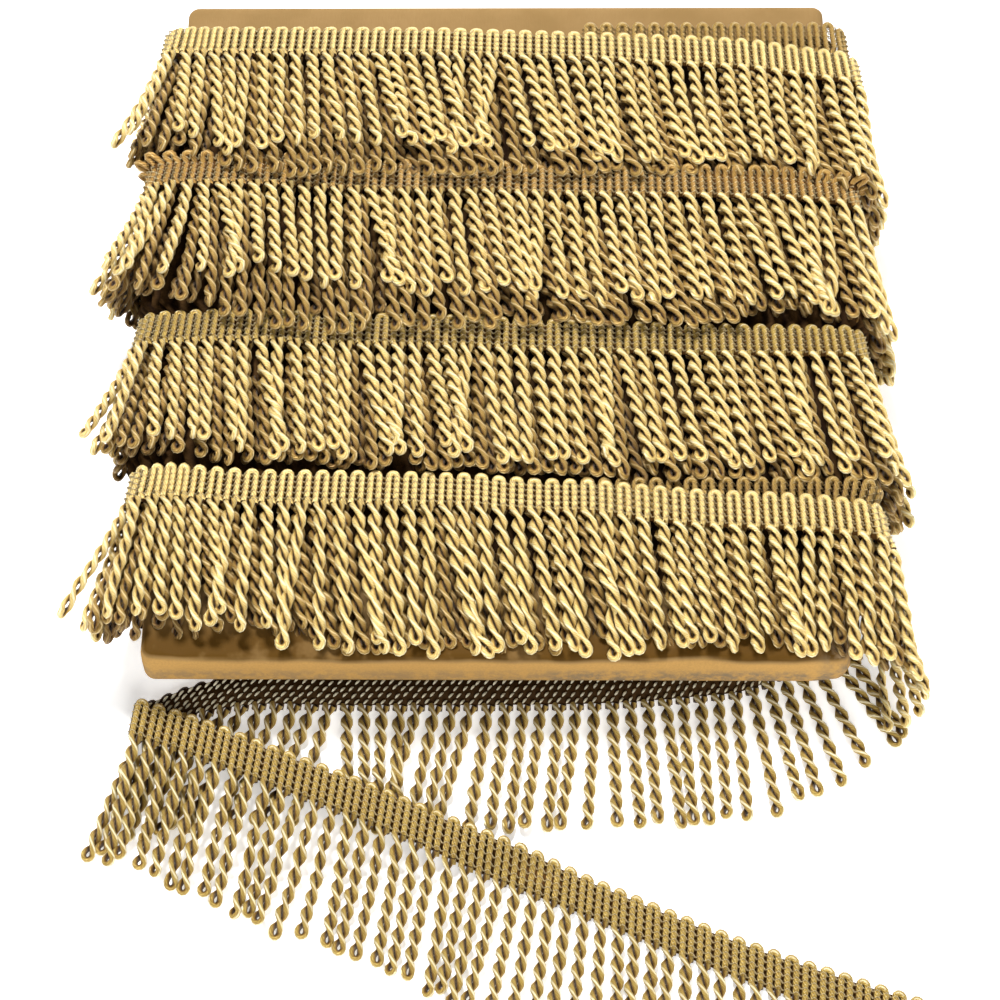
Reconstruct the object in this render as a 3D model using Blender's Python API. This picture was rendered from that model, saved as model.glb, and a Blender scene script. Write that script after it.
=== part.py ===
"""Twisted loop fringe trim, wound in four tiers round a flat cardboard card, its loose end folded beside it.

Metres, +Z up. The pieces are modelled round the middle of the card, X along its width and Y away from the
loose end. An empty then moves them so that the origin is under the middle of the whole object, on the table.
"""

import math

import bmesh
import bpy
import numpy as np

# Card
CARD_WIDTH = 0.200
CARD_LENGTH = 0.231
CARD_THICKNESS = 0.012
CARD_UNDERSIDE = 0.013  # height above the table, on the turns beneath the card
CARD_TOP = CARD_UNDERSIDE + CARD_THICKNESS
CARD_CORNER = 0.004
CARD_CORNER_SEGMENTS = 4
CARD_EDGE_ROUNDING = 0.0015
CARD_EDGE_SEGMENTS = 2

# Trim
HEADING_WIDTH = 0.0118
HEADING_THICKNESS = 0.0024
STRAND_LENGTH = 0.040
STRAND_PITCH = 0.005
STRAND_THICKNESS = 0.0030
STRAND_WIDTHS = (0.0034, 0.0035, 0.0037)  # at its root, half way down and at the loop that ends it

# Clearances between touching pieces
SLOT_GAP = 0.0003
LAYER_GAP = 0.0005
STACK_GAP = 0.0004

WAYS = (0, 0.5, 1)  # ways down a strand or lock: its root, half way and its tip

# The outermost turn: how far its faces stand off the under-layers
HEADING_FACE = 0.0030
LOCK_FACES = (0.0030, 0.0040, 0.0036)  # at each of the ways
LOCK_HALF_WIDTHS = (0.44, 0.42, 0.38)  # at each of the ways, in shares of the pitch between locks
LOCK_WANDER = 0.22  # how far neighbouring tips lean together, in pitches
WANDER_RATES = (0.55, 0.21)  # radians from one lock to the next, of that lean and of its swell
LOCK_JITTER = 0.035
EDGE_FLARE = 0.007  # how far the lock tips stand out at the pile's two ends

# Locks round one turn: top run, right-hand end, underside, left-hand end
TOP_LOCKS = 19
END_LOCKS = 6
TURN_LOCKS = 2 * (TOP_LOCKS + END_LOCKS)
RIGHT_END = TOP_LOCKS
UNDERSIDE = TOP_LOCKS + END_LOCKS
LEFT_END = 2 * TOP_LOCKS + END_LOCKS
CORNER_RADIUS = 0.013
FALL_POWER = 2.5  # how late along the top run a heading falls away
WINDING_STATIONS = (0, 3, 6, 9, 12, 15, 17, 19, 20, 21, 22, 23, 24, 25, 31, 38, 44, 45, 46, 47, 48, 49)

# Each tier: far edge of its heading at the left-hand end, and how far the heading falls towards the right
TIER_COLUMNS = ("heading_y", "fall")
TIERS = (
    (0.0970, 0.0120),
    (0.0468, 0.0075),
    (-0.0040, 0.0075),
    (-0.0605, 0.0090),
)

# Sections across one tier: distance from the heading's far edge, share of the fall, height of the pile above
# the card, half its width, and height of its underside above the table
SECTION_COLUMNS = ("along", "fall_share", "top", "half_width", "underside")
TIER_SECTIONS = (
    (0.0000, 1.0, 0.0095, 0.1045, 0.0030),  # far edge of the heading
    (0.0108, 1.0, 0.0108, 0.1050, 0.0030),  # near edge of the heading
    (0.0290, 0.9, 0.0123, 0.1075, 0.0030),  # crown of the strands
    (0.0488, 1.0, 0.0112, 0.1100, 0.0030),  # tips
)
LAST_TIER_SECTIONS = (
    (0.0000, 1.0, 0.0095, 0.1055, 0.0030),
    (0.0108, 1.0, 0.0108, 0.1060, 0.0030),
    (0.0190, 0.8, 0.0108, 0.1075, 0.0062),
    (0.0330, 0.6, 0.0084, 0.1100, 0.0064),
    (0.0410, 0.4, 0.0050, 0.1110, 0.0067),
    (0.0465, 0.2, 0.0016, 0.1110, 0.0070),  # the under-layers end here
    (0.0500, 0.2, 0.0005, 0.1115, 0.0072),  # tips, on the card
)
PILE_COLUMNS = ("left", "right", "top", "half_width", "underside")  # the first two are y at either end
FAR_END_SECTION = (0.0980, 0.0960, 0.0085, 0.1035, 0.0030)
LAST_TURN_DROP = 0.011  # how far tier 4 comes forward as it goes down the right-hand end
LAST_TURN_LOCKS = 5  # locks of tier 4 on that end, before the trim becomes the loose end
LAST_TURN_SKIPPED = 1  # places on the underside left free for the loose end

# The loose end, wrong side up: x and y of the heading's near edge, and how far its strands lean to the right,
# in degrees
TAIL_COLUMNS = ("x", "y", "lean")
TAIL_BACK = (
    (0.0990, -0.0925, 33),
    (0.0940, -0.0975, 28),
    (0.0880, -0.1025, 22),
    (0.0800, -0.1090, 11),
    (0.0710, -0.1132, 5),
    (0.0580, -0.1150, 3),
    (0.0410, -0.1167, 1),
    (0.0000, -0.1180, -5),
    (-0.0450, -0.1182, -11),
    (-0.0730, -0.1184, -14),
    (-0.0880, -0.1216, -15),
    (-0.1041, -0.1285, -15),
)
# The loose end, right side up, from the fold to the cut end
TAIL_FRONT = (
    (-0.1045, -0.1290, -15),
    (-0.0880, -0.1345, -12),
    (-0.0620, -0.1450, -9),
    (-0.0360, -0.1555, -8),
    (-0.0170, -0.1640, -8),
    (0.0000, -0.1710, -8),
    (0.0240, -0.1810, -5),
    (0.0480, -0.1915, -3),
    (0.0720, -0.2015, -3),
    (0.0960, -0.2100, -3),
    (0.1270, -0.2210, -4),
)
OVERLAP_EDGE = -0.161  # y of the front run's step down off the back run's strands
OVERLAP_STEP = 0.011
OVERLAP_LEFT = -0.075  # x from which that step follows the lean of the strands
OVERLAP_SLOPE = 0.30
FOLD_STEPS = 4
BACK_STEPS = 3  # sections down each strand of the back run
FRONT_STEPS = 4
TAIL_WANDER = 0.0012
TAIL_WANDER_RATE = 0.7  # radians from one strand to the next
TAIL_JITTER = 0.0003
ROUTE_SAMPLES = 800

# Colour and roughness
BOARD_FINISH = ((0.42, 0.25, 0.09), 0.8)
YARN_FINISH = ((0.56, 0.38, 0.12), 0.5)
INNER_YARN_FINISH = ((0.30, 0.18, 0.05), 0.6)

rng = np.random.default_rng(11)


def columns(names, rows):
    """A table with named columns, as one array for each name."""
    return {name: np.array([row[i] for row in rows]) for i, name in enumerate(names)}


def smooth(t):
    t = min(max(t, 0.0), 1.0)
    return t * t * (3 - 2 * t)


def fall_at(around):
    """Share of a tier's fall to the right, at a place round the turn."""
    if around <= RIGHT_END:
        return (max(around, 0) / TOP_LOCKS) ** FALL_POWER
    if around <= UNDERSIDE:
        return 1.0
    if around <= LEFT_END:
        return 1 - (around - UNDERSIDE) / TOP_LOCKS
    return 0.0


def pile_sections():
    """Every section across the pile, far to near."""
    found = [FAR_END_SECTION]
    tiers = [dict(zip(TIER_COLUMNS, row)) for row in TIERS]
    for i, tier in enumerate(tiers):
        last = i == len(tiers) - 1
        rows = LAST_TIER_SECTIONS if last else TIER_SECTIONS
        table = [dict(zip(SECTION_COLUMNS, row)) for row in rows]
        for j, row in enumerate(table):
            fall = tier["fall"] * row["fall_share"]
            if not last and j == len(table) - 1:  # the tips keep clear of the next heading
                fall = min(fall, tiers[i + 1]["fall"])
            left = tier["heading_y"] - row["along"]
            found.append((left, left - fall, row["top"], row["half_width"], row["underside"]))
    return columns(PILE_COLUMNS, found)


SECTIONS = pile_sections()
FIRST_SECTION = 1  # of tier 1; each tier but the last has len(TIER_SECTIONS)


def section_y(index, around):
    """y of a section at a place round the turn."""
    left, right = SECTIONS["left"][index], SECTIONS["right"][index]
    return left + (right - left) * fall_at(around)


def turn_point(around, y, half_width, top, underside):
    """A point on the rounded oblong of one section, at a place counted in locks from its top left corner."""
    radius = min(CORNER_RADIUS, (top - underside) / 2)
    flat = half_width - radius
    around %= TURN_LOCKS
    if around <= RIGHT_END:
        return np.array([-flat + 2 * flat * around / TOP_LOCKS, y, top])
    if UNDERSIDE <= around <= LEFT_END:
        return np.array([flat - 2 * flat * (around - UNDERSIDE) / TOP_LOCKS, y, underside])
    on_right = around < UNDERSIDE
    share = (around - (RIGHT_END if on_right else LEFT_END)) / END_LOCKS
    if not on_right:
        share = 1 - share
    corner = radius * math.pi / 2
    side = top - underside - 2 * radius
    way = share * (2 * corner + side)  # along the end's own outline
    angle, height = 0.0, top - radius - (way - corner)
    if way < corner:
        angle, height = math.pi / 2 * (1 - way / corner), top - radius
    elif way > corner + side:
        angle, height = -math.pi / 2 * (way - corner - side) / corner, underside + radius
    x = flat + radius * math.cos(angle)
    return np.array([x if on_right else -x, y, height + radius * math.sin(angle)])


def pile_point(around, y, offset=0.0):
    """A point on the pile of under-layers, or that far off its surface."""
    place = around % TURN_LOCKS
    ys = np.array([section_y(i, place) for i in range(len(SECTIONS["left"]))])
    top, half_width, underside = (
        np.interp(-y, -ys, SECTIONS[name]) for name in ("top", "half_width", "underside")
    )
    return turn_point(place, y, half_width + offset, CARD_TOP + top + offset, underside - offset)


def end_share(around):
    """How far a place is into one of the pile's two ends: 0 on the runs, 1 half way round an end."""
    place = around % TURN_LOCKS
    for start in (RIGHT_END, LEFT_END):
        if start < place < start + END_LOCKS:
            return math.sin(math.pi * (place - start) / END_LOCKS)
    return 0.0


def fringe(name, stations, strands, closed):
    """One solid: a heading strip through four-point stations, and a strand extruded at every other gap.

    A station is (far inner, far outer, near outer, near inner). strands[k] grows between stations 2k and
    2k + 1, and holds the sections that its end face moves through.
    """
    bm = bmesh.new()
    rings = [[bm.verts.new(point) for point in station] for station in stations]
    pairs = list(zip(rings, rings[1:]))
    if closed:
        pairs.append((rings[-1], rings[0]))
    roots = {}
    for i, (a, b) in enumerate(pairs):
        for j, k in ((0, 1), (1, 2), (3, 0)):
            bm.faces.new((a[j], a[k], b[k], b[j]))
        near = bm.faces.new((a[3], b[3], b[2], a[2]))
        if i % 2 == 0 and strands[i // 2]:
            roots[i // 2] = near
    if not closed:
        bm.faces.new(rings[0])
        bm.faces.new(rings[-1])
    for k, face in roots.items():
        for section in strands[k]:
            face = bmesh.ops.extrude_discrete_faces(bm, faces=[face])["faces"][0]
            for vert, point in zip(face.verts, section):
                vert.co = point
    bmesh.ops.recalc_face_normals(bm, faces=bm.faces)
    return finish(name, bm)


def finish(name, bm):
    mesh = bpy.data.meshes.new(name)
    bm.to_mesh(mesh)
    bm.free()
    obj = bpy.data.objects.new(name, mesh)
    bpy.context.scene.collection.objects.link(obj)
    return obj


def material(name, finish_values):
    colour, roughness = finish_values
    made = bpy.data.materials.new(name)
    made.use_nodes = True
    shader = made.node_tree.nodes["Principled BSDF"]
    shader.inputs["Base Color"].default_value = (*colour, 1.0)
    shader.inputs["Roughness"].default_value = roughness
    shader.inputs["Metallic"].default_value = 0.0
    return made


def make_card():
    bm = bmesh.new()
    bmesh.ops.create_cube(bm, size=1.0)
    bmesh.ops.scale(bm, verts=bm.verts, vec=(CARD_WIDTH, CARD_LENGTH, CARD_THICKNESS))
    bmesh.ops.translate(bm, verts=bm.verts, vec=(0, 0, CARD_UNDERSIDE + CARD_THICKNESS / 2))
    upright = [e for e in bm.edges if abs(e.verts[0].co.z - e.verts[1].co.z) > CARD_THICKNESS / 2]
    round_off(bm, upright, CARD_CORNER, CARD_CORNER_SEGMENTS)
    level = [e for e in bm.edges if abs(e.verts[0].co.z - e.verts[1].co.z) < CARD_THICKNESS / 2]
    rims = [e for e in level if e.calc_face_angle() > math.pi / 4]
    round_off(bm, rims, CARD_EDGE_ROUNDING, CARD_EDGE_SEGMENTS)
    return finish("card", bm)


def round_off(bm, edges, radius, segments):
    bmesh.ops.bevel(bm, geom=edges, offset=radius, segments=segments, profile=0.5, affect="EDGES")


def make_winding():
    """The under-layers of all tiers: a loft through the sections, with a slot cut for the card."""
    bm = bmesh.new()
    loops = []
    for i in range(len(SECTIONS["left"]) - 1):
        half_width, underside = SECTIONS["half_width"][i], SECTIONS["underside"][i]
        top = CARD_TOP + SECTIONS["top"][i]
        loop = []
        for around in WINDING_STATIONS:
            point = turn_point(around, section_y(i, around), half_width, top, underside)
            loop.append(bm.verts.new(point))
        loops.append(loop)
    for a, b in zip(loops, loops[1:]):
        for j in range(len(a)):
            k = (j + 1) % len(a)
            bm.faces.new((a[j], a[k], b[k], b[j]))
    bm.faces.new(loops[0])
    bm.faces.new(loops[-1])
    bmesh.ops.triangulate(bm, faces=bm.faces)
    bmesh.ops.recalc_face_normals(bm, faces=bm.faces)
    obj = finish("winding", bm)

    bm = bmesh.new()
    bmesh.ops.create_cube(bm, size=1.0)
    size = (CARD_WIDTH + 2 * SLOT_GAP, 2 * CARD_LENGTH, CARD_THICKNESS + 2 * SLOT_GAP)
    bmesh.ops.scale(bm, verts=bm.verts, vec=size)
    bmesh.ops.translate(bm, verts=bm.verts, vec=(0, 0, CARD_UNDERSIDE + CARD_THICKNESS / 2))
    slot = finish("card_slot", bm)
    slot.hide_render = True
    slot.display_type = "WIRE"
    cut = obj.modifiers.new("card_slot", "BOOLEAN")
    cut.operation = "DIFFERENCE"
    cut.solver = "EXACT"
    cut.object = slot
    return obj


def lock_section(around, half, y, flare, face):
    """Four points across a lock, its inner side and then its outer side, moved outwards by the flare."""
    found = []
    for place, offset in ((-half, LAYER_GAP), (half, LAYER_GAP), (half, face), (-half, face)):
        point = pile_point(around + place, y, offset)
        point[0] += math.copysign(flare, point[0])
        point[2] = max(point[2], 0.0)  # it rests on the table where it would reach it
        found.append(point)
    return found


def lock(middle, sections, drop, tilt):
    """The sections of one lock below its root, each down one section of the tier."""
    found = []
    on_underside = UNDERSIDE <= middle <= LEFT_END
    used = sections[1:]
    if on_underside:  # level on the table, or rising over the loose end beneath the last tier
        used = sections[-1:] if len(sections) < len(TIER_SECTIONS) else sections[1:3] + sections[-1:]
    start = section_y(sections[0], middle)
    length = start - section_y(sections[-1], middle)
    for index in used:
        y = section_y(index, middle) - drop
        way = (start - drop - y) / length
        flare = EDGE_FLARE * end_share(middle) * way**2
        face = HEADING_FACE if on_underside else float(np.interp(way, WAYS, LOCK_FACES))
        half = float(np.interp(way, WAYS, LOCK_HALF_WIDTHS))
        found.append(lock_section(middle + tilt * way, half, y, flare, face))
    return found


def make_tier(number):
    """The outermost turn of one tier. The last tier is open where the trim leaves it as the loose end."""
    last = number == len(TIERS)
    first = FIRST_SECTION + (number - 1) * len(TIER_SECTIONS)
    count = len(LAST_TIER_SECTIONS if last else TIER_SECTIONS)
    far, lock_rows = first, list(range(first + 1, first + count))
    order = list(range(TURN_LOCKS))
    if last:
        order = order[UNDERSIDE + LAST_TURN_SKIPPED:] + order[:RIGHT_END + LAST_TURN_LOCKS]
    phase = rng.uniform(0, 2 * math.pi)
    half = LOCK_HALF_WIDTHS[0]
    stations, strands = [], []
    for place in order:
        middle = place + 0.5
        drop = 0.0
        if last and RIGHT_END < middle < UNDERSIDE:
            drop = LAST_TURN_DROP * (middle - RIGHT_END) / END_LOCKS
        for around in (middle - half, middle + half):
            ys = section_y(far, around) - drop, section_y(lock_rows[0], around) - drop
            stations.append(
                (
                    pile_point(around, ys[0], LAYER_GAP),
                    pile_point(around, ys[0], HEADING_FACE),
                    pile_point(around, ys[1], HEADING_FACE),
                    pile_point(around, ys[1], LAYER_GAP),
                )
            )
        lean_rate, swell_rate = WANDER_RATES
        tilt = LOCK_WANDER * math.sin(phase + place * lean_rate) * math.cos(place * swell_rate)
        tilt += rng.uniform(-LOCK_JITTER, LOCK_JITTER)
        strands.append(lock(middle, lock_rows, drop, tilt))
    return fringe(f"tier_{number}", stations, strands, closed=not last)


def way_along(x, y):
    """Distance along a line of points, at each of them."""
    return np.concatenate([[0], np.cumsum(np.hypot(np.diff(x), np.diff(y)))])


def route(table):
    """A smooth curve through a loose run's table: near edge and lean by distance along it, and its length."""
    cols = columns(TAIL_COLUMNS, table)
    x, y, lean = cols["x"], cols["y"], np.radians(cols["lean"])
    knots = way_along(x, y)
    fine = np.linspace(0, knots[-1], ROUTE_SAMPLES)
    curve = [smooth_curve(knots, values, fine) for values in (x, y, lean)]
    distance = way_along(curve[0], curve[1])

    def at(s):
        return [float(np.interp(s, distance, values)) for values in curve]

    return at, distance[-1]


def smooth_curve(knots, values, at):
    """A cubic through the knots whose slope at each is that of its neighbours."""
    slopes = np.gradient(values, knots)
    i = np.clip(np.searchsorted(knots, at, side="right") - 1, 0, len(knots) - 2)
    span = knots[i + 1] - knots[i]
    t = (at - knots[i]) / span
    return (
        (2 * t**3 - 3 * t**2 + 1) * values[i]
        + (t**3 - 2 * t**2 + t) * span * slopes[i]
        + (-2 * t**3 + 3 * t**2) * values[i + 1]
        + (t**3 - t**2) * span * slopes[i + 1]
    )


def back_lift(x, y):
    """Height of the back run's underside, which lies on the table all along."""
    return 0.0


def front_lift(x, y):
    """Height of the front run's underside: on the back run's strands, then down to the table past them."""
    edge = OVERLAP_EDGE - OVERLAP_SLOPE * max(OVERLAP_LEFT - x, 0)
    return (STRAND_THICKNESS + STACK_GAP) * smooth((y - (edge - OVERLAP_STEP)) / OVERLAP_STEP)


def loose_run(name, table, lift, steps, before=()):
    """A run of the loose end: its heading strip along the table's route, and a strand at every pitch."""
    at, length = route(table)
    count = int(length / STRAND_PITCH)
    pitch = length / count
    phase = rng.uniform(0, 2 * math.pi)
    stations, strands = list(before), [None] * (len(before) // 2)
    for k in range(count):
        middle = (k + 0.5) * pitch
        edges = []
        for s in (middle - STRAND_WIDTHS[0] / 2, middle + STRAND_WIDTHS[0] / 2):
            x, y, lean = at(s)
            down = np.array([math.sin(lean), -math.cos(lean)])
            near, far = np.array([x, y]), np.array([x, y]) - down * HEADING_WIDTH
            far_low, near_low = lift(*far), lift(*near)
            far_top, near_top = far_low + HEADING_THICKNESS, near_low + HEADING_THICKNESS
            stations.append(((*far, far_low), (*far, far_top), (*near, near_top), (*near, near_low)))
            edges.append(near)
        x, y, lean = at(middle)
        down = np.array([math.sin(lean), -math.cos(lean)])
        across = (edges[1] - edges[0]) / np.linalg.norm(edges[1] - edges[0])
        side = TAIL_WANDER * math.sin(phase + TAIL_WANDER_RATE * k)
        side += rng.uniform(-TAIL_JITTER, TAIL_JITTER)
        sections = []
        for step in range(1, steps + 1):
            way = step / steps
            centre = np.array([x, y]) + down * STRAND_LENGTH * way + across * side * way
            half = float(np.interp(way, WAYS, STRAND_WIDTHS)) / 2
            a, b = centre - across * half, centre + across * half
            low = lift(*centre)
            high = low + STRAND_THICKNESS
            sections.append(((*a, low), (*b, low), (*b, high), (*a, high)))
        strands.append(sections)
    return fringe(name, stations, strands, closed=False)


def fold_stations():
    """The half turn that brings the trim back over itself, from the table round the front run's left end."""
    x, y, lean = TAIL_FRONT[0]
    lean = math.radians(lean)
    near = (x, y)
    far = (x - math.sin(lean) * HEADING_WIDTH, y + math.cos(lean) * HEADING_WIDTH)
    inner = (front_lift(*near) - HEADING_THICKNESS) / 2
    outer = inner + HEADING_THICKNESS
    found = []
    for step in range(FOLD_STEPS):
        turn = math.pi * step / FOLD_STEPS
        station = []
        for base, radius in ((far, inner), (far, outer), (near, outer), (near, inner)):
            station.append((base[0] - radius * math.sin(turn), base[1], outer - radius * math.cos(turn)))
        found.append(station)
    return found


def clear_scene():
    for obj in list(bpy.data.objects):
        bpy.data.objects.remove(obj, do_unlink=True)


def main():
    clear_scene()
    board = material("board", BOARD_FINISH)
    yarn = material("yarn", YARN_FINISH)
    inner_yarn = material("inner_yarn", INNER_YARN_FINISH)

    pieces = [(make_card(), board), (make_winding(), inner_yarn)]
    for number in range(1, len(TIERS) + 1):
        pieces.append((make_tier(number), yarn))
    pieces.append((loose_run("tail_back", TAIL_BACK, back_lift, BACK_STEPS), yarn))
    pieces.append((loose_run("tail_front", TAIL_FRONT, front_lift, FRONT_STEPS, fold_stations()), yarn))

    corners = np.array([vert.co for obj, _ in pieces for vert in obj.data.vertices])
    middle = (corners.min(axis=0) + corners.max(axis=0)) / 2
    base = bpy.data.objects.new("trim_base", None)
    bpy.context.scene.collection.objects.link(base)
    base.location = (-middle[0], -middle[1], 0.0)
    for obj, finish_material in pieces:
        obj.data.materials.append(finish_material)
        obj.parent = base
    bpy.data.objects["card_slot"].parent = base


main()
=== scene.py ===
"""Twisted loop fringe trim wound on a card: every yarn, stitch and the worn board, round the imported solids.

Metres, +Z up. Shapes are worked out round the middle of the card, with the table at height 0, and are then
moved by ORIGIN into the frame. A trim is laid out by three coordinates: u along it, w up from its heading's
near edge (so its strands hang at negative w) and h out from whatever it lies on.
"""

import math

import bpy
import numpy as np
from mathutils import Matrix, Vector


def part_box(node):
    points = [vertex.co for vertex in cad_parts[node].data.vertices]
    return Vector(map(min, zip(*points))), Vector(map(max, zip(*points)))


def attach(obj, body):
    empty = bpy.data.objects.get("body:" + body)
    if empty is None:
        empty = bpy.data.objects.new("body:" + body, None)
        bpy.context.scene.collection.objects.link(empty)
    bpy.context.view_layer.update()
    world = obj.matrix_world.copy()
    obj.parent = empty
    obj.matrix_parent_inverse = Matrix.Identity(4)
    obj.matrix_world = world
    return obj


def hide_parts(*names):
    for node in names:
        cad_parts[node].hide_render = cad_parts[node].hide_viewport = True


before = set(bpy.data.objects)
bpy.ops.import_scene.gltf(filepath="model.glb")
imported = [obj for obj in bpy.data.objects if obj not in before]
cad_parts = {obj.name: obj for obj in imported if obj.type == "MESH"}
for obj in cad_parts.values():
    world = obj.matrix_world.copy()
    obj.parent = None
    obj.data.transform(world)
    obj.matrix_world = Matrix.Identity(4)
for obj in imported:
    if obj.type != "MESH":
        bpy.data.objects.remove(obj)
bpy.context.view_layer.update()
rng = np.random.default_rng(7)

MM = 0.001
card_low, card_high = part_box("card")
ORIGIN = np.array([(card_low.x + card_high.x) / 2, (card_low.y + card_high.y) / 2, 0.0])

# Card
CARD_WIDTH = card_high.x - card_low.x
CARD_LENGTH = card_high.y - card_low.y
CARD_UNDERSIDE = card_low.z
CARD_TOP = card_high.z

# Trim
HEADING_WIDTH = 0.0118
PITCH = 0.005
STRAND_RUN = 0.0368  # from the heading to the strand's last crossing
PLY_RADIUS = 0.00106
SQUEEZE = 0.34  # by which the plies are thinner where they cross
UNEVEN = 0.05  # spread of the plies' width and looseness
UNEVEN_MOST = 0.12  # which it never passes
HELIX_RADIUS = 0.00102
LOOP_RADIUS = 0.00128
LOOP_PLY_RADIUS = 0.00092
LEG_SPREAD = 0.00122  # of a unit's two legs on the heading, from its middle
LEG_RADIUS = 0.00094
LEG_HEIGHT = 0.00190
FLIPPED_LEG_HEIGHT = 0.00100
HALF_TURNS = 7
STRAND_SIZE = 0.0037  # least distance between the middles of two strands
STITCH_ROWS = (0.0010, 0.0031, 0.0052, 0.0073, 0.0092)
STITCH_RADIUS = 0.00028
TAPE_EDGES = (0.0003, 0.0102)  # w of the woven backing's edges
UNDER_PITCH = 0.0046  # of the strands beneath the outermost ones
FIBRES = (8, 5, 0)  # round a ply, and along one turn of it
LOOSE_SIZE = 0.96  # of the loose end's strands beside the wound ones
PRESSED_SIZE = 0.84  # of the strands under the card

# The wound pile, as in its solids. Places round a turn are counted in locks, two strands wide
TOP_LOCKS = 19
END_LOCKS = 6
TURN_LOCKS = 2 * (TOP_LOCKS + END_LOCKS)
RIGHT_END = TOP_LOCKS
UNDERSIDE = TOP_LOCKS + END_LOCKS
LEFT_END = 2 * TOP_LOCKS + END_LOCKS
CORNER_RADIUS = 0.0055
FALL_POWER = 2.5  # of the way a tier falls towards the right
OVER_LIFT = 0.0020  # of a heading where it lies on the one beneath
OVER_DROP = 0.0028  # by which it is lower there, and its strands shorter
LAST_TURN_DROP = 0.011
LAST_TURN_RISE = 0.009  # of the last row on the underside, behind the card's near edge
LAST_TURN_END = RIGHT_END + 5.3
LAST_TURN_START = UNDERSIDE + 1

TIER_COLUMNS = ("heading_y", "fall")
TIERS = (
    (0.0970, 0.0120),
    (0.0468, 0.0075),
    (-0.0040, 0.0075),
    (-0.0605, 0.0090),
)
SECTION_COLUMNS = ("along", "fall_share", "top", "half_width", "underside")
TIER_SECTIONS = (
    (0.0000, 1.0, 0.0095, 0.1045, 0.0030),
    (0.0108, 1.0, 0.0108, 0.1050, 0.0030),
    (0.0290, 0.9, 0.0123, 0.1075, 0.0030),
    (0.0488, 1.0, 0.0112, 0.1100, 0.0030),
)
LAST_TIER_SECTIONS = (
    (0.0000, 1.0, 0.0095, 0.1055, 0.0030),
    (0.0108, 1.0, 0.0108, 0.1060, 0.0030),
    (0.0190, 0.8, 0.0108, 0.1075, 0.0062),
    (0.0330, 0.6, 0.0084, 0.1100, 0.0064),
    (0.0410, 0.4, 0.0050, 0.1110, 0.0067),
    (0.0465, 0.2, 0.0016, 0.1110, 0.0070),
    (0.0500, 0.2, 0.0005, 0.1115, 0.0072),
)
PILE_COLUMNS = ("left", "right", "top", "half_width", "underside")
FAR_END_SECTION = (0.0980, 0.0960, 0.0085, 0.1035, 0.0030)

# The loose end: x and y of its heading's near edge, and how far its strands lean to the right in degrees
TAIL_COLUMNS = ("x", "y", "lean")
TAIL_BACK = (
    (0.0990, -0.0925, 33),
    (0.0940, -0.0975, 28),
    (0.0880, -0.1025, 22),
    (0.0800, -0.1090, 11),
    (0.0710, -0.1132, 5),
    (0.0580, -0.1150, 3),
    (0.0410, -0.1167, 1),
    (0.0000, -0.1180, -5),
    (-0.0450, -0.1182, -11),
    (-0.0730, -0.1184, -14),
    (-0.0880, -0.1216, -15),
    (-0.1041, -0.1285, -15),
)
TAIL_FRONT = (
    (-0.1045, -0.1290, -15),
    (-0.0880, -0.1345, -12),
    (-0.0620, -0.1450, -9),
    (-0.0360, -0.1555, -8),
    (-0.0170, -0.1640, -8),
    (0.0000, -0.1710, -8),
    (0.0240, -0.1810, -5),
    (0.0480, -0.1915, -3),
    (0.0720, -0.2015, -3),
    (0.0960, -0.2100, -3),
    (0.1270, -0.2210, -4),
)
FRONT_LIFT = 0.0042  # of the front run where it lies on the back run's strands
OVERLAP_EDGE = -0.161
OVERLAP_STEP = 0.011
OVERLAP_LEFT = -0.075
OVERLAP_SLOPE = 0.30


def columns(names, rows):
    return {name: np.array([row[i] for row in rows]) for i, name in enumerate(names)}


def smooth(t):
    t = np.clip(t, 0.0, 1.0)
    return t * t * (3 - 2 * t)


def unit(v):
    return v / np.maximum(np.linalg.norm(v, axis=-1, keepdims=True), 1e-12)


# Camera


def make_camera():
    """The photograph's view, fitted to the four corners of the card's upper face."""
    focal_px, frame_px, sensor = 3200.0, 1000.0, 36.0
    location = np.array([0.0230, -0.5145, 0.8281]) + ORIGIN
    pitch, roll, yaw = math.radians(60.65), math.radians(-2.37), math.radians(2.82)
    forward = np.array([0.0, math.cos(pitch), -math.sin(pitch)])
    up = np.array([0.0, math.sin(pitch), math.cos(pitch)])
    right = np.array([1.0, 0.0, 0.0])
    turn = np.array([[math.cos(yaw), -math.sin(yaw), 0], [math.sin(yaw), math.cos(yaw), 0], [0, 0, 1]])
    forward, up, right = turn @ forward, turn @ up, turn @ right
    right, up = (
        math.cos(roll) * right + math.sin(roll) * up,
        -math.sin(roll) * right + math.cos(roll) * up,
    )
    data = bpy.data.cameras.new("camera")
    data.sensor_width = sensor
    data.lens = focal_px / frame_px * sensor
    data.clip_start, data.clip_end = 0.01, 20.0
    camera = bpy.data.objects.new("camera", data)
    rows = [[right[i], up[i], -forward[i], location[i]] for i in range(3)]
    camera.matrix_world = Matrix([*rows, [0, 0, 0, 1]])
    bpy.context.scene.collection.objects.link(camera)
    bpy.context.scene.camera = camera


# Lights and floor


def area_light(name, location, target, size, power):
    data = bpy.data.lights.new(name, "AREA")
    data.shape = "DISK"
    data.size = size
    data.energy = power
    light = bpy.data.objects.new(name, data)
    look = np.array(target, float) - np.array(location, float)
    back = unit(-look)
    side = unit(np.cross([0.0, 1.0, 0.2], back))
    up = np.cross(back, side)
    rotation = Matrix([[side[i], up[i], back[i]] for i in range(3)]).to_4x4()
    light.matrix_world = Matrix.Translation(location) @ rotation
    bpy.context.scene.collection.objects.link(light)


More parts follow.
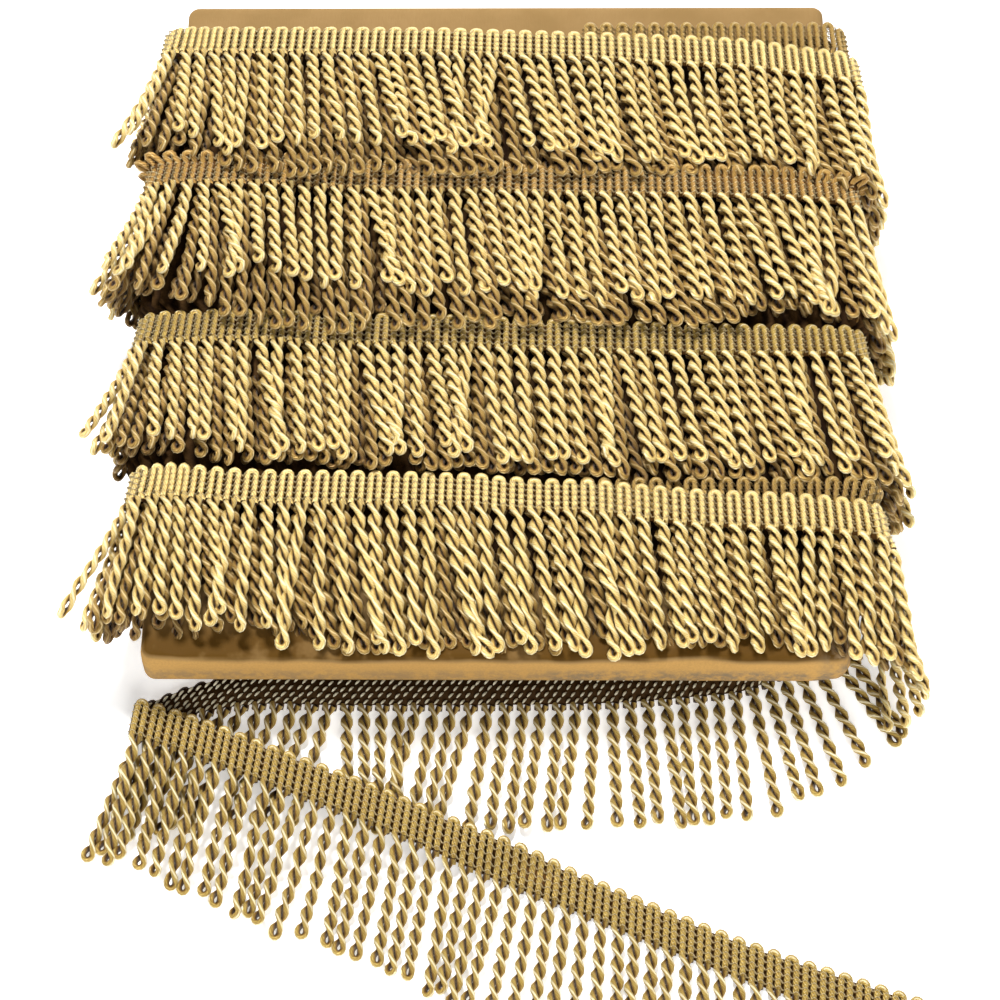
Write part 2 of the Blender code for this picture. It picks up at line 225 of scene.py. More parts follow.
def make_lights():
    area_light("key", (-0.25, 0.90, 1.6), (0, 0, 0), 0.45, 50)
    area_light("fill", (0.4, -1.4, 0.8), (0, -0.05, 0), 1.0, 24)
    world = bpy.data.worlds.new("studio")
    world.use_nodes = True
    background = world.node_tree.nodes["Background"]
    background.inputs["Color"].default_value = (1, 1, 1, 1)
    background.inputs["Strength"].default_value = 0.32
    bpy.context.scene.world = world
    bpy.context.scene.view_settings.view_transform = "Standard"


def make_floor():
    mesh = bpy.data.meshes.new("floor")
    half, below = 3.0, -0.0002
    corners = ((-half, -half), (half, -half), (half, half), (-half, half))
    mesh.from_pydata([(x, y, below) for x, y in corners], [], [(0, 1, 2, 3)])
    floor = bpy.data.objects.new("floor", mesh)
    bpy.context.scene.collection.objects.link(floor)
    made = bpy.data.materials.new("floor")
    made.use_nodes = True
    shader = made.node_tree.nodes["Principled BSDF"]
    shader.inputs["Base Color"].default_value = (0.93, 0.93, 0.93, 1)
    shader.inputs["Roughness"].default_value = 0.9
    shader.inputs["Specular IOR Level"].default_value = 0.0
    shader.inputs["Emission Color"].default_value = (1, 1, 1, 1)
    shader.inputs["Emission Strength"].default_value = 0.45
    mesh.materials.append(made)


# Materials


class Graph:
    """A short hand for building one material's nodes."""

    def __init__(self, name, roughness, sheen=0.0, specular=0.5, metallic=0.0):
        self.material = bpy.data.materials.new(name)
        self.material.use_nodes = True
        self.tree = self.material.node_tree
        self.shader = self.tree.nodes["Principled BSDF"]
        self.shader.inputs["Roughness"].default_value = roughness
        self.shader.inputs["Sheen Weight"].default_value = sheen
        self.shader.inputs["Metallic"].default_value = metallic
        self.shader.inputs["Specular IOR Level"].default_value = specular

    def node(self, kind, inputs, **settings):
        made = self.tree.nodes.new(kind)
        for key, value in settings.items():
            setattr(made, key, value)
        for key, value in inputs.items():
            if isinstance(value, bpy.types.NodeSocket):
                self.tree.links.new(value, made.inputs[key])
            else:
                made.inputs[key].default_value = value
        return made

    def attribute(self, name):
        return self.node("ShaderNodeAttribute", {}, attribute_name=name).outputs["Fac"]

    def math(self, operation, *values):
        return self.node("ShaderNodeMath", dict(enumerate(values)), operation=operation).outputs[0]

    def noise(self, scale, detail=3.0, roughness=0.55, stretch=None):
        coords = self.node("ShaderNodeTexCoord", {}).outputs["Object"]
        if stretch:
            coords = self.node("ShaderNodeMapping", {"Vector": coords, "Scale": stretch}).outputs[0]
        inputs = {"Vector": coords, "Scale": scale, "Detail": detail, "Roughness": roughness}
        return self.node("ShaderNodeTexNoise", inputs).outputs["Fac"]

    def mix(self, factor, a, b):
        a, b = ((*colour, 1.0) if isinstance(colour, tuple) else colour for colour in (a, b))
        return self.node("ShaderNodeMix", {0: factor, 6: a, 7: b}, data_type="RGBA").outputs[2]

    def spread(self, value, low, high, to_low=0.0, to_high=1.0):
        return self.node(
            "ShaderNodeMapRange",
            {"Value": value, "From Min": low, "From Max": high, "To Min": to_low, "To Max": to_high},
            interpolation_type="SMOOTHSTEP",
        ).outputs[0]

    def colour(self, socket):
        self.tree.links.new(socket, self.shader.inputs["Base Color"])

    def bump(self, height, distance):
        made = self.node("ShaderNodeBump", {"Height": height, "Distance": distance, "Strength": 1.0})
        self.tree.links.new(made.outputs[0], self.shader.inputs["Normal"])


def yarn_material(name, light, gold, amber, deep):
    """Twisted fibres: a painted highlight outside, gold flanks and painted deep brown shade where two plies
    meet.
    """
    g = Graph(name, 0.42, sheen=0.10, specular=0.3, metallic=0.3)
    g.shader.inputs["Sheen Roughness"].default_value = 0.3
    g.shader.inputs["Sheen Tint"].default_value = (1.0, 0.93, 0.75, 1.0)
    groove, shade = g.attribute("groove"), g.attribute("shade")
    uv = g.node("ShaderNodeUVMap", {}, uv_map="thread").outputs[0]
    run = g.node("ShaderNodeVectorMath", {0: uv, 1: FIBRES}, operation="DOT_PRODUCT").outputs["Value"]
    fibre = g.math("SINE", g.math("MULTIPLY", run, 2 * math.pi))
    mottle = g.noise(420.0)
    streaks = g.math("ADD", mottle, g.math("MULTIPLY", fibre, 0.22))
    gold = g.mix(g.spread(streaks, 0.46, 0.76, 0.0, 0.65), gold, amber)
    # Painted highlight: the light colour on each ply's outer side, toned at random towards gold.
    painted_highlight = g.mix(g.spread(shade, 0.0, 1.0, 0.0, 0.35), light, gold)
    painted_highlight = g.mix(g.spread(groove, 0.02, 0.14), painted_highlight, gold)
    # Painted shade: amber on the flanks turned to the other ply, then deep brown where the plies meet.
    painted_flank_shade = g.mix(g.spread(groove, 0.42, 0.68), painted_highlight, amber)
    g.colour(g.mix(g.spread(groove, 0.64, 0.90), painted_flank_shade, deep))
    g.bump(g.math("ADD", g.math("MULTIPLY", fibre, 0.7), g.noise(2600.0, 2.0)), 0.00013)
    return g.material


def inner_material(name, light, dark):
    """Yarn so far in shade that it has neither gloss nor single fibres."""
    g = Graph(name, 0.85, specular=0.05)
    worn = g.mix(g.noise(500.0), tuple(0.4 * c for c in light), light)
    g.colour(g.mix(g.attribute("groove"), worn, dark))
    g.bump(g.noise(1400.0), 0.0004)
    return g.material


def board_material():
    """Kraft liner: fine fibres, a dark glazed strip with lighter rubbed patches, and a scuffed grey edge.

    The strip's darkness is partly the glaze and partly painted shade under the strands' tips, and the near
    side face is made lighter with painted light.
    """
    g = Graph("board", 0.75, specular=0.06)
    fine = g.noise(1500.0, 4.0, 0.6, (1.0, 0.25, 1.0))
    broad = g.noise(45.0, 4.0, 0.6)
    kraft = g.mix(g.spread(broad, 0.3, 0.7), (0.255, 0.157, 0.058), (0.305, 0.19, 0.076))
    # Painted light: the near side face is made lighter.
    kraft = g.mix(g.attribute("side"), kraft, (0.45, 0.262, 0.080))
    kraft = g.mix(g.spread(fine, 0.35, 0.65, 0.0, 0.30), kraft, (0.27, 0.16, 0.06))
    rubbed = g.spread(g.noise(60.0, 4.0, 0.6), 0.52, 0.66)
    unrubbed = g.math("SUBTRACT", 1.0, g.math("MULTIPLY", rubbed, 0.35))
    # The dark strip: partly real glaze, partly painted shade under the strands' tips.
    glaze_and_shade = g.math("MULTIPLY", g.attribute("groove"), unrubbed)
    kraft = g.mix(glaze_and_shade, kraft, (0.080, 0.038, 0.005))
    worn = g.math("MULTIPLY", g.attribute("wear"), g.spread(g.noise(260.0, 5.0, 0.7), 0.36, 0.62))
    g.colour(g.mix(worn, kraft, (0.20, 0.145, 0.085)))
    g.tree.links.new(g.spread(glaze_and_shade, 0.0, 1.0, 0.78, 0.66), g.shader.inputs["Roughness"])
    g.bump(g.math("ADD", g.math("MULTIPLY", fine, 0.35), broad), 0.00022)
    return g.material


# Meshes


class Mesh:
    """One piece's points, faces, thread coordinates, painted shade and tone, gathered shape by shape."""

    def __init__(self):
        self.points, self.faces, self.uvs, self.groove, self.shade = [], [], [], [], []
        self.count = 0

    def add(self, points, faces, uvs, groove, shade):
        self.points.append(points)
        self.faces.append(faces + self.count)
        self.uvs.append(uvs)
        self.groove.append(groove)
        self.shade.append(shade)
        self.count += len(points)

    def tubes(self, centres, radius, out, sides, shade=0.0, groove=1.0, least=0.0):
        """Tubes with closed ends along centres (tube, section, xyz), whose outer side is turned to out."""
        tubes, sections, _ = centres.shape
        tangent = unit(np.gradient(centres, axis=1))
        first = unit(out - (out * tangent).sum(-1, keepdims=True) * tangent)
        second = np.cross(tangent, first)
        angles = 2 * math.pi * np.arange(sides) / sides
        radius = np.broadcast_to(radius, (tubes, sections))
        ways = np.cos(angles)[:, None] * first[:, :, None] + np.sin(angles)[:, None] * second[:, :, None]
        points = centres[:, :, None] + radius[..., None, None] * ways
        step = np.linalg.norm(np.diff(centres, axis=1), axis=-1)
        length = np.concatenate([np.zeros((tubes, 1)), np.cumsum(step, 1)], 1) / (2 * math.pi * PLY_RADIUS)

        t, s, k = np.meshgrid(np.arange(tubes), np.arange(sections - 1), np.arange(sides), indexing="ij")
        t, s, k = t.ravel(), s.ravel(), k.ravel()
        after, beside = s + 1, (k + 1) % sides
        base = t * sections * sides
        low, high = base + s * sides, base + after * sides
        quads = np.stack([low + k, low + beside, high + beside, high + k], 1)
        start, end = length[t, s], length[t, after]
        uvs = np.stack([k, start, k + 1, start, k + 1, end, k, end], 1).reshape(-1, 4, 2).astype(float)
        uvs[..., 0] /= sides
        # Painted shade: none on a tube's outer side, with its painted highlight, most on the side turned
        # inwards.
        inner = np.broadcast_to((1 - np.cos(angles)) / 2 * groove, (tubes, sections, sides))
        inner = np.maximum(inner, np.broadcast_to(least, (tubes, sections))[..., None])
        tone = np.broadcast_to(np.reshape(shade, (-1, 1, 1)), (tubes, sections, sides))
        self.add(points.reshape(-1, 3), quads, uvs.reshape(-1, 2), inner.ravel(), tone.ravel())
        for section, flip in ((0, True), (-1, False)):
            rims = points[:, section]
            self.fans(rims, rims.mean(1, keepdims=True), inner.max(), tone.mean(), flip)

    def fans(self, rims, middles, groove, shade, flip):
        """Closes rings of points (ring, side, xyz) with triangles, each ring round its middle point."""
        rings, sides, _ = rims.shape
        k = np.arange(sides)
        corner = np.stack([k, (k + 1) % sides, np.full(sides, sides)], 1)
        if flip:
            corner = corner[:, ::-1]
        base = (np.arange(rings) * (sides + 1))[:, None, None]
        faces = (corner[None] + base).reshape(-1, 3)
        points = np.concatenate([rims, middles], 1).reshape(-1, 3)
        count = len(points)
        self.add(points, faces, np.zeros((len(faces) * 3, 2)), np.full(count, groove), np.full(count, shade))

    def grid(self, points, ring=False, groove=0.0, tube=False):
        """Quads over points (row, column, xyz), whose columns may join up, and in a tube its rows too."""
        rows, cols, _ = points.shape
        r = np.arange(rows if tube else rows - 1)
        c = np.arange(cols if ring else cols - 1)
        r, c = (a.ravel() for a in np.meshgrid(r, c, indexing="ij"))
        beside, after = (c + 1) % cols, (r + 1) % rows
        quads = np.stack([r * cols + c, r * cols + beside, after * cols + beside, after * cols + c], 1)
        groove = np.broadcast_to(groove, (rows, cols)).ravel()
        self.add(points.reshape(-1, 3), quads, np.zeros((len(quads) * 4, 2)), groove, np.zeros(rows * cols))

    def close(self, corners):
        """One face over points that are already there."""
        self.faces.append(np.array([corners]))
        self.uvs.append(np.zeros((len(corners), 2)))

    def make(self, name, material, slot, extra=None):
        points = np.concatenate(self.points) + ORIGIN
        loops = np.concatenate([f.ravel() for f in self.faces])
        sizes = np.concatenate([np.full(len(f), f.shape[1]) for f in self.faces])
        starts = np.concatenate([[0], np.cumsum(sizes)[:-1]])
        mesh = bpy.data.meshes.new(name)
        mesh.vertices.add(len(points))
        mesh.vertices.foreach_set("co", points.astype(np.float32).ravel())
        mesh.loops.add(len(loops))
        mesh.loops.foreach_set("vertex_index", loops.astype(np.int32))
        mesh.polygons.add(len(sizes))
        mesh.polygons.foreach_set("loop_start", starts.astype(np.int32))
        mesh.polygons.foreach_set("use_smooth", np.ones(len(sizes), bool))
        mesh.update(calc_edges=True)
        layer = mesh.uv_layers.new(name="thread")
        layer.uv.foreach_set("vector", np.concatenate(self.uvs).astype(np.float32).ravel())
        values = {"groove": np.concatenate(self.groove), "shade": np.concatenate(self.shade)}
        for key, value in {**values, **(extra or {})}.items():
            mesh.attributes.new(key, "FLOAT", "POINT").data.foreach_set("value", value.astype(np.float32))
        mesh.materials.append(material)
        piece = bpy.data.objects.new(name, mesh)
        bpy.context.scene.collection.objects.link(piece)
        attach(piece, "root")
        return piece


# The wound pile


def fall_at(around):
    """Share of a tier's fall to the right, at places round the turn."""
    a = np.mod(around, TURN_LOCKS)
    return np.select(
        [a <= RIGHT_END, a <= UNDERSIDE, a <= LEFT_END],
        [(a / TOP_LOCKS) ** FALL_POWER, np.ones_like(a), 1 - (a - UNDERSIDE) / TOP_LOCKS],
        0.0,
    )


def pile_sections():
    found = [FAR_END_SECTION]
    tiers = [dict(zip(TIER_COLUMNS, row)) for row in TIERS]
    for i, tier in enumerate(tiers):
        last = i == len(tiers) - 1
        rows = LAST_TIER_SECTIONS if last else TIER_SECTIONS
        table = [dict(zip(SECTION_COLUMNS, row)) for row in rows]
        for j, row in enumerate(table):
            fall = tier["fall"] * row["fall_share"]
            if not last and j == len(table) - 1:
                fall = min(fall, tiers[i + 1]["fall"])
            left = tier["heading_y"] - row["along"]
            found.append((left, left - fall, row["top"], row["half_width"], row["underside"]))
    return columns(PILE_COLUMNS, found)


SECTIONS = pile_sections()


def over_pile(around):
    """Whether places round the turn are nearer the middle of its upper run than of its lower one."""
    a = np.mod(around, TURN_LOCKS)
    return (a <= RIGHT_END + END_LOCKS / 2) | (a >= LEFT_END + END_LOCKS / 2)


class Section:
    """The rounded oblong that the pile of under-layers, or a surface off it, has at each of some points.

    Past the section numbered last, if one is given, it stays as it is there.
    """

    def __init__(self, around, y, offset, last=None):
        around, y, offset = np.broadcast_arrays(around, y, offset)
        fall = fall_at(around)[..., None]
        ys = SECTIONS["left"] + (SECTIONS["right"] - SECTIONS["left"]) * fall
        at = y if last is None else np.maximum(y, ys[..., last])
        i = np.clip((ys > at[..., None]).sum(-1) - 1, 0, ys.shape[-1] - 2)
        far, near = (np.take_along_axis(ys, k[..., None], -1)[..., 0] for k in (i, i + 1))
        f = np.clip((far - at) / (far - near), 0, 1)
        top, half_width, underside = (
            SECTIONS[name][i] * (1 - f) + SECTIONS[name][i + 1] * f
            for name in ("top", "half_width", "underside")
        )
        self.y = y
        self.top, self.underside = CARD_TOP + top + offset, underside - offset
        self.radius = np.minimum(CORNER_RADIUS, (self.top - self.underside) / 2)
        self.flat = half_width + offset - self.radius
        self.corner = self.radius * math.pi / 2
        self.side = self.top - self.underside - 2 * self.radius
        self.end = 2 * self.corner + self.side
        self.half_way = self.flat + self.end / 2

    def arc(self, around):
        """Signed way from the middle of the upper run, or of the lower run for places nearer to that."""
        a = np.mod(around, TURN_LOCKS)
        upper = -self.flat + 2 * self.flat * a / TOP_LOCKS
        right = self.flat + (a - RIGHT_END) / END_LOCKS * self.end
        right_below = self.flat + (UNDERSIDE - a) / END_LOCKS * self.end
        lower = self.flat - 2 * self.flat * (a - UNDERSIDE) / TOP_LOCKS
        left_below = -self.flat - (a - LEFT_END) / END_LOCKS * self.end
        left = -self.flat - (TURN_LOCKS - a) / END_LOCKS * self.end
        bounds = (RIGHT_END, RIGHT_END + END_LOCKS / 2, UNDERSIDE, LEFT_END, LEFT_END + END_LOCKS / 2)
        return np.select([a <= b for b in bounds], [upper, right, right_below, lower, left_below], left)

    def point(self, over, arc):
        """The point that far along, from the middle of the upper run where over is set."""
        way = np.abs(arc) - self.flat
        in_corner, on_side = way < self.corner, way < self.corner + self.side
        past = way > self.end
        bend = np.select([in_corner, on_side], [way, self.corner], way - self.side) / self.radius
        bend = np.clip(bend, 0, math.pi)
        down = np.clip(way - self.corner, 0, self.side)
        x = self.flat + self.radius * np.sin(bend)
        z = self.top - self.radius * (1 - np.cos(bend)) - down
        x = np.where(past, self.flat - (way - self.end), x)
        x = np.where(way < 0, np.abs(arc), x)
        z = np.where(over, z, self.top + self.underside - z)
        return np.stack([np.copysign(x, arc), self.y + 0 * x, z], -1)


def pile_point(around, y, offset):
    """Points on the pile, or that far off it, at places counted in locks from its top left corner."""
    section = Section(around, y, offset)
    return section.point(over_pile(around), section.arc(around))


def hang_point(around, sideways, y_root, y, offset, last=None):
    """Points that hang straight down the pile from places on the turn at y_root, moved sideways along it.

    The pile widens as it goes down, and that spreads what hangs at its ends only.
    """
    over = over_pile(around)
    start, here = Section(around, y_root, offset), Section(around, y, offset, last)
    arc = start.arc(around)
    spread = smooth((np.abs(arc) - 0.85 * start.flat) / (start.half_way - 0.85 * start.flat))
    arc = arc + np.sign(arc) * (here.half_way - start.half_way) * spread
    return here.point(over, arc + np.where(over, sideways, -sideways))


def end_share(around):
    """How far places are into the pile's two ends: 0 on the runs, 1 half way round an end."""
    a = np.mod(around, TURN_LOCKS)
    right = np.sin(math.pi * np.clip((a - RIGHT_END) / END_LOCKS, 0, 1))
    left = np.sin(math.pi * np.clip((a - LEFT_END) / END_LOCKS, 0, 1))
    return right + left


def under_share(around):
    """1 on the underside of the pile, 0 on its upper side."""
    a = np.mod(around, TURN_LOCKS)
    return smooth((a - RIGHT_END - 2) / (END_LOCKS - 2)) * (1 - smooth((a - LEFT_END) / (END_LOCKS - 2)))


# Strands


def cubic(a, b, slope_a, slope_b, t):
    return (
        (2 * t**3 - 3 * t**2 + 1) * a
        + (t**3 - 2 * t**2 + t) * slope_a
        + (-2 * t**3 + 3 * t**2) * b
        + (t**3 - t**2) * slope_b
    )


def hermite(stations, t):
    """Smooth values between stations (strand, station, xyz) that are evenly spaced over 0 to 1."""
    count = stations.shape[1]
    slopes = np.gradient(stations, axis=1)
    at = np.clip(t * (count - 1), 0, count - 1)
    i = np.minimum(at.astype(int), count - 2)
    f = (at - i)[None, :, None]
    return cubic(stations[:, i], stations[:, i + 1], slopes[:, i], slopes[:, i + 1], f)


def add_strands(mesh, axis, out, shade, per_half_turn=4, sides=6, half_turns=HALF_TURNS, size=1.0):
    """Strands down the axes (strand, station, xyz): one yarn twisted round itself, with a loop at its tip."""
    turn_spread, root_turns, tip_turns, loop_stretch = 0.24, 0.25, 0.6, 1.35
    strands = len(axis)
    steps = int(per_half_turn * half_turns) + 1
    t = np.linspace(0, 1, steps)
    line, normal = hermite(axis, t), unit(hermite(out, t))
    down = unit(np.gradient(line, axis=1))
    side = unit(np.cross(normal, down))
    normal = np.cross(down, side)
    turns = half_turns + rng.uniform(-turn_spread, turn_spread, (strands, 1))
    phase = math.pi - math.pi * turns * t
    uneven = rng.normal(0, UNEVEN, (strands, steps))
    uneven = (uneven + np.roll(uneven, 1, 1)) * np.sin(math.pi * t)
    uneven = size * (1 + np.clip(uneven, -UNEVEN_MOST, UNEVEN_MOST))
    root, tip_share = np.exp(-t * half_turns / root_turns), smooth((t - 1) * half_turns / tip_turns + 1)
    radius = HELIX_RADIUS + (LEG_SPREAD - HELIX_RADIUS) * root + (LOOP_RADIUS - HELIX_RADIUS) * tip_share
    thick = PLY_RADIUS + (LEG_RADIUS - PLY_RADIUS) * root + (LOOP_PLY_RADIUS - PLY_RADIUS) * tip_share
    radial = np.cos(phase)[..., None] * side + np.sin(phase)[..., None] * normal
    reach = (radius * uneven)[..., None]
    ply = line + reach * radial
    other = line - reach * radial

    bend = np.linspace(0, math.pi, 7)[1:-1]
    tip, edge, along = line[:, -1:], radial[:, -1:], down[:, -1:]
    swing = np.cos(bend)[:, None] * edge + np.sin(bend)[:, None] * along * loop_stretch
    loop = tip + size * LOOP_RADIUS * swing
    centres = np.concatenate([ply, loop, other[:, ::-1]], 1)
    outward = np.concatenate([radial, unit(swing), -radial[:, ::-1]], 1)
    thick = thick * uneven * (1 - SQUEEZE * np.sin(phase) ** 2 * (1 - tip_share))
    loop_width = np.full((strands, len(bend)), size * LOOP_PLY_RADIUS)
    mesh.tubes(centres, np.concatenate([thick, loop_width, thick[:, ::-1]], 1), outward, sides, shade)


def settle(places, floor, wrap=None, passes=50):
    """Moves strands, given by stations (strand, station, across and along and height), until none overlaps.

    They keep their roots, are drawn back towards where they were, and sink to the floor where they can.
    """
    push_share, pull, sink = 0.45, 0.06, 0.10
    wanted = places.copy()
    places = places.copy()
    places[..., 2] += rng.uniform(0, 0.0008, (len(places), 1))
    for _ in range(passes):
        for step in (1, 2, 3):
            ahead = np.roll(places, -step, 0)
            if wrap is not None:
                ahead[-step:, :, 0] += wrap
            apart = ahead - places
            distance = np.linalg.norm(apart, axis=-1, keepdims=True)
            overlap = np.clip(STRAND_SIZE - distance, 0, None)
            push = overlap / np.maximum(distance, 1e-6) * apart * push_share
            if wrap is None:
                push[-step:] = 0
            places -= push
            places += np.roll(push, step, 0)
        places[..., :2] += pull * (wanted[..., :2] - places[..., :2])
        places[..., 2] += sink * (floor - places[..., 2])
        places[..., 2] = np.maximum(places[..., 2], floor)
        places[:, 1:-1] = 0.5 * places[:, 1:-1] + 0.25 * (places[:, :-2] + places[:, 2:])
        places[:, 0] = wanted[:, 0]
    return places


def clump(roots, spread, bias, size):
    """How far each strand's tip moves along the trim: groups of neighbours draw together and lean as one."""
    shift = np.zeros(len(roots))
    k = 0
    while k < len(roots):
        n = int(rng.integers(*size))
        group = slice(k, min(k + n, len(roots)))
        middle = roots[group].mean()
        shift[group] = (middle - roots[group]) * rng.uniform(0.04, 0.16) + rng.normal(0, spread)
        k += n
    return shift + bias + rng.normal(0, 0.0006, len(roots))


# Rows

STATIONS = 10
UPPER_OFFSET = 0.0026  # of a strand's middle from the pile's surface
LOWER_OFFSET = 0.0008


class Row:
    """The outermost turn of one tier: where u and w of its trim lie on the pile."""

    def __init__(self, number):
        self.number = number
        self.last = number == len(TIERS)
        tier = dict(zip(TIER_COLUMNS, TIERS[number - 1]))
        self.far, self.fall = tier["heading_y"], tier["fall"]
        first = LAST_TURN_START if self.last else 0.0
        last = TURN_LOCKS + LAST_TURN_END if self.last else float(TURN_LOCKS)
        fine = np.linspace(first, last, 1200)
        points = pile_point(fine, self.near(fine), 0.0015)
        step = np.linalg.norm(np.diff(points, axis=0), axis=1)
        self.fine, self.length = fine, np.concatenate([[0], np.cumsum(step)])
        self.count = int(round(self.length[-1] / PITCH))
        self.roots = (np.arange(self.count) + 0.5) * self.length[-1] / self.count

    def around(self, u):
        if self.last:
            return np.interp(u, self.length, self.fine)
        return np.interp(np.mod(u, self.length[-1]), self.length, self.fine)

    def place_of(self, around):
        """u of a place round the turn."""
        if self.last and around < self.fine[0]:
            around += TURN_LOCKS
        return float(np.interp(around, self.fine, self.length))

    def near(self, around):
        """y of the heading's near edge."""
        a = np.mod(around, TURN_LOCKS)
        beside = np.where(a > LEFT_END, a - TURN_LOCKS, a)
        measured = np.interp(beside, *zip(*HEADING_NEAR[self.number])) * MM
        y = np.where(beside <= UNDERSIDE, measured, self.far - 0.0108 - self.fall * fall_at(around))
        y = y - OVER_DROP * self.over_lower(around)
        if self.last:
            y = y - LAST_TURN_DROP * np.clip((a - RIGHT_END) / END_LOCKS, 0, 1) * (a < UNDERSIDE)
            y = y + LAST_TURN_RISE * under_share(around) * (a > UNDERSIDE)
        return y

    def heading(self, u, w, h):
        """Points w up from the heading's near edge, which stands a little higher, and h off the pile."""
        around = self.around(u)
        under, over_lower = under_share(around), self.over_lower(around)
        tilt = 0.0006 * (1 - w / HEADING_WIDTH) * (1 - under) - 0.0005 * under
        near = self.near(around)
        away = near + w * (0.95 + 0.10 * over_lower)
        points = hang_point(around, 0.0, near, away, h + (tilt + OVER_LIFT * over_lower))
        points[..., 0] += self.draw_in(points[..., 0])
        return points

    def draw_in(self, x):
        """How far the row's left end is drawn in from the pile's."""
        return LEFT_DRAW[self.number] * smooth((-x - 0.085) / 0.018)

    def over_lower(self, around):
        """1 where the heading lies on the one beneath, which shows above it."""
        if self.number not in LOWER_HEADING:
            return np.zeros_like(around)
        a = np.mod(around, TURN_LOCKS)
        return smooth((a - 11.5) / 3) * (1 - under_share(around)) * (a < UNDERSIDE)

    def heading_below(self, u, w, h):
        """The same of the turn beneath, which stays level to the right and so shows above the outermost."""
        around = self.around(u)
        past = np.minimum(self.near(around) - self.near(np.float64(RIGHT_END)), 0)
        near = LOWER_HEADING[self.number] + past * (np.mod(around, TURN_LOCKS) > RIGHT_END)
        return hang_point(around, 0.0, near, near + w * 0.95, h)


def left_share(around):
    """1 at the pile's top left corner, down to 0 at the foot of its left end and a little along its top."""
    a = np.mod(around, TURN_LOCKS)
    return np.where(a > UNDERSIDE, smooth((a - LEFT_END - 1.5) / 3.0), 1 - smooth(a / 1.7))


def lay_strands(row, roots, shift, run, base, rise, lift=0.0, drop=0.0, bulge=2.2):
    """Axes and outward directions of strands that hang down the pile, from a row's heading or drop lower."""
    left_shorter, below_shorter, bend_size = 0.17, 0.30, 0.0005
    t = np.linspace(0, 1, STATIONS)
    around = row.around(roots)
    a = np.mod(around, TURN_LOCKS)
    over_lower = row.over_lower(around)
    upper = 1 - under_share(around)[:, None]
    left = left_share(around)[:, None]
    below = smooth((a - LEFT_END + 2) / 2) * (1 - left[:, 0]) * (a > UNDERSIDE)
    run = (run - OVER_DROP * over_lower)[:, None] * (1 - left_shorter * left - below_shorter * below[:, None])
    floor = base * upper + LOWER_OFFSET * (1 - upper) + rise[:, None] * t**bulge * upper
    floor = floor + OVER_LIFT * over_lower[:, None] * (1 - smooth(t / 0.5))
    bend = rng.normal(0, bend_size, (len(roots), 1))
    bend = bend * np.sin(2 * math.pi * t * rng.uniform(0.7, 1.2, (len(roots), 1)))
    places = np.zeros((len(roots), STATIONS, 3))
    places[..., 0] = roots[:, None] + shift[:, None] * t**1.25 + bend * upper
    places[..., 1] = -run * t
    places[..., 2] = floor + np.broadcast_to(lift, roots.shape)[:, None] * t
    wrap = None if row.last or len(roots) < row.count else row.length[-1]
    places = settle(places, floor, wrap)
    u, w, h = places[..., 0], places[..., 1], places[..., 2]
    h = np.where(upper > 0.5, h, np.minimum(h, LOWER_OFFSET + 0.0002))
    near = (row.near(around) - drop)[:, None]
    last = None if row.last else 4 * row.number
    sideways = u - roots[:, None]
    flare = RIGHT_FLARE[row.number] * (end_share(around) * (a < UNDERSIDE))[:, None]
    flare = flare + LEFT_FLARE[row.number] * left * rng.uniform(0.6, 1.15, (len(roots), 1))
    if len(roots) == row.count:
        stray = np.argmin(np.abs(a - STRAY_PLACE[row.number]))
        flare[stray] += STRAY_REACH[row.number]
    flare = flare * t**1.6
    points, above = (hang_point(around[:, None], sideways, near, near + w, h + d, last) for d in (0.0, MM))
    for p in (points, above):
        p[..., 0] += np.copysign(flare, p[..., 0]) + row.draw_in(p[..., 0])
        p[..., 2] -= 0.35 * flare * upper * (p[..., 2] > 0.016)
    return points, unit(above - points)


def add_units(mesh, place, roots, sides, flipped=False):
    """The heading's units: a yarn up one leg, over a scallop and down the other, pinched by stitches."""
    feet, straight = (-0.0009, -0.0001), HEADING_WIDTH - LEG_SPREAD - LEG_RADIUS
    dive_depth, dive_top, dive_length, pinch_width = 0.0016, 0.0012, 0.0021, 0.0005
    between = [(a + b) / 2 for a, b in zip(STITCH_ROWS, STITCH_ROWS[1:])]
    up = np.array(sorted([*feet, straight, *STITCH_ROWS[:-1], *between]))
    bend = np.linspace(0, math.pi, 7)[1:-1]
    leg = np.full(len(up), LEG_SPREAD)
    du = np.concatenate([-leg, -LEG_SPREAD * np.cos(bend), leg])
    w = np.concatenate([up, straight + LEG_SPREAD * np.sin(bend), up[::-1]])
    height = FLIPPED_LEG_HEIGHT if flipped else LEG_HEIGHT
    dive = dive_depth * (du > 0) * smooth((dive_top - w) / dive_length)
    h = height + (0.0002 * np.exp(-np.clip(w, 0, None) / 0.0012) - dive) * (not flipped)
    h = np.maximum(h, 1.05 * LEG_RADIUS)
    u = roots[:, None] + du * (1 + 0.05 * rng.uniform(-1, 1, (len(roots), 1)))
    w = np.broadcast_to(w, u.shape)
    centres = place(u, w, np.broadcast_to(h, u.shape))
    above = place(u, w, np.broadcast_to(h + (-MM if flipped else MM), u.shape))
    pinch = sum(np.exp(-(((w - row) / pinch_width) ** 2)) for row in STITCH_ROWS)
    shade = rng.uniform(0, 1, len(roots))
    radius = LEG_RADIUS * (1.03 - 0.16 * pinch)
    # Painted shade on the legs: a little all over, and more beside each stitch row, where the stitches throw
    # shade.
    least = np.maximum(0.06, 0.55 * pinch * (not flipped))
    mesh.tubes(centres, radius, unit(above - centres), sides, shade, least=least)


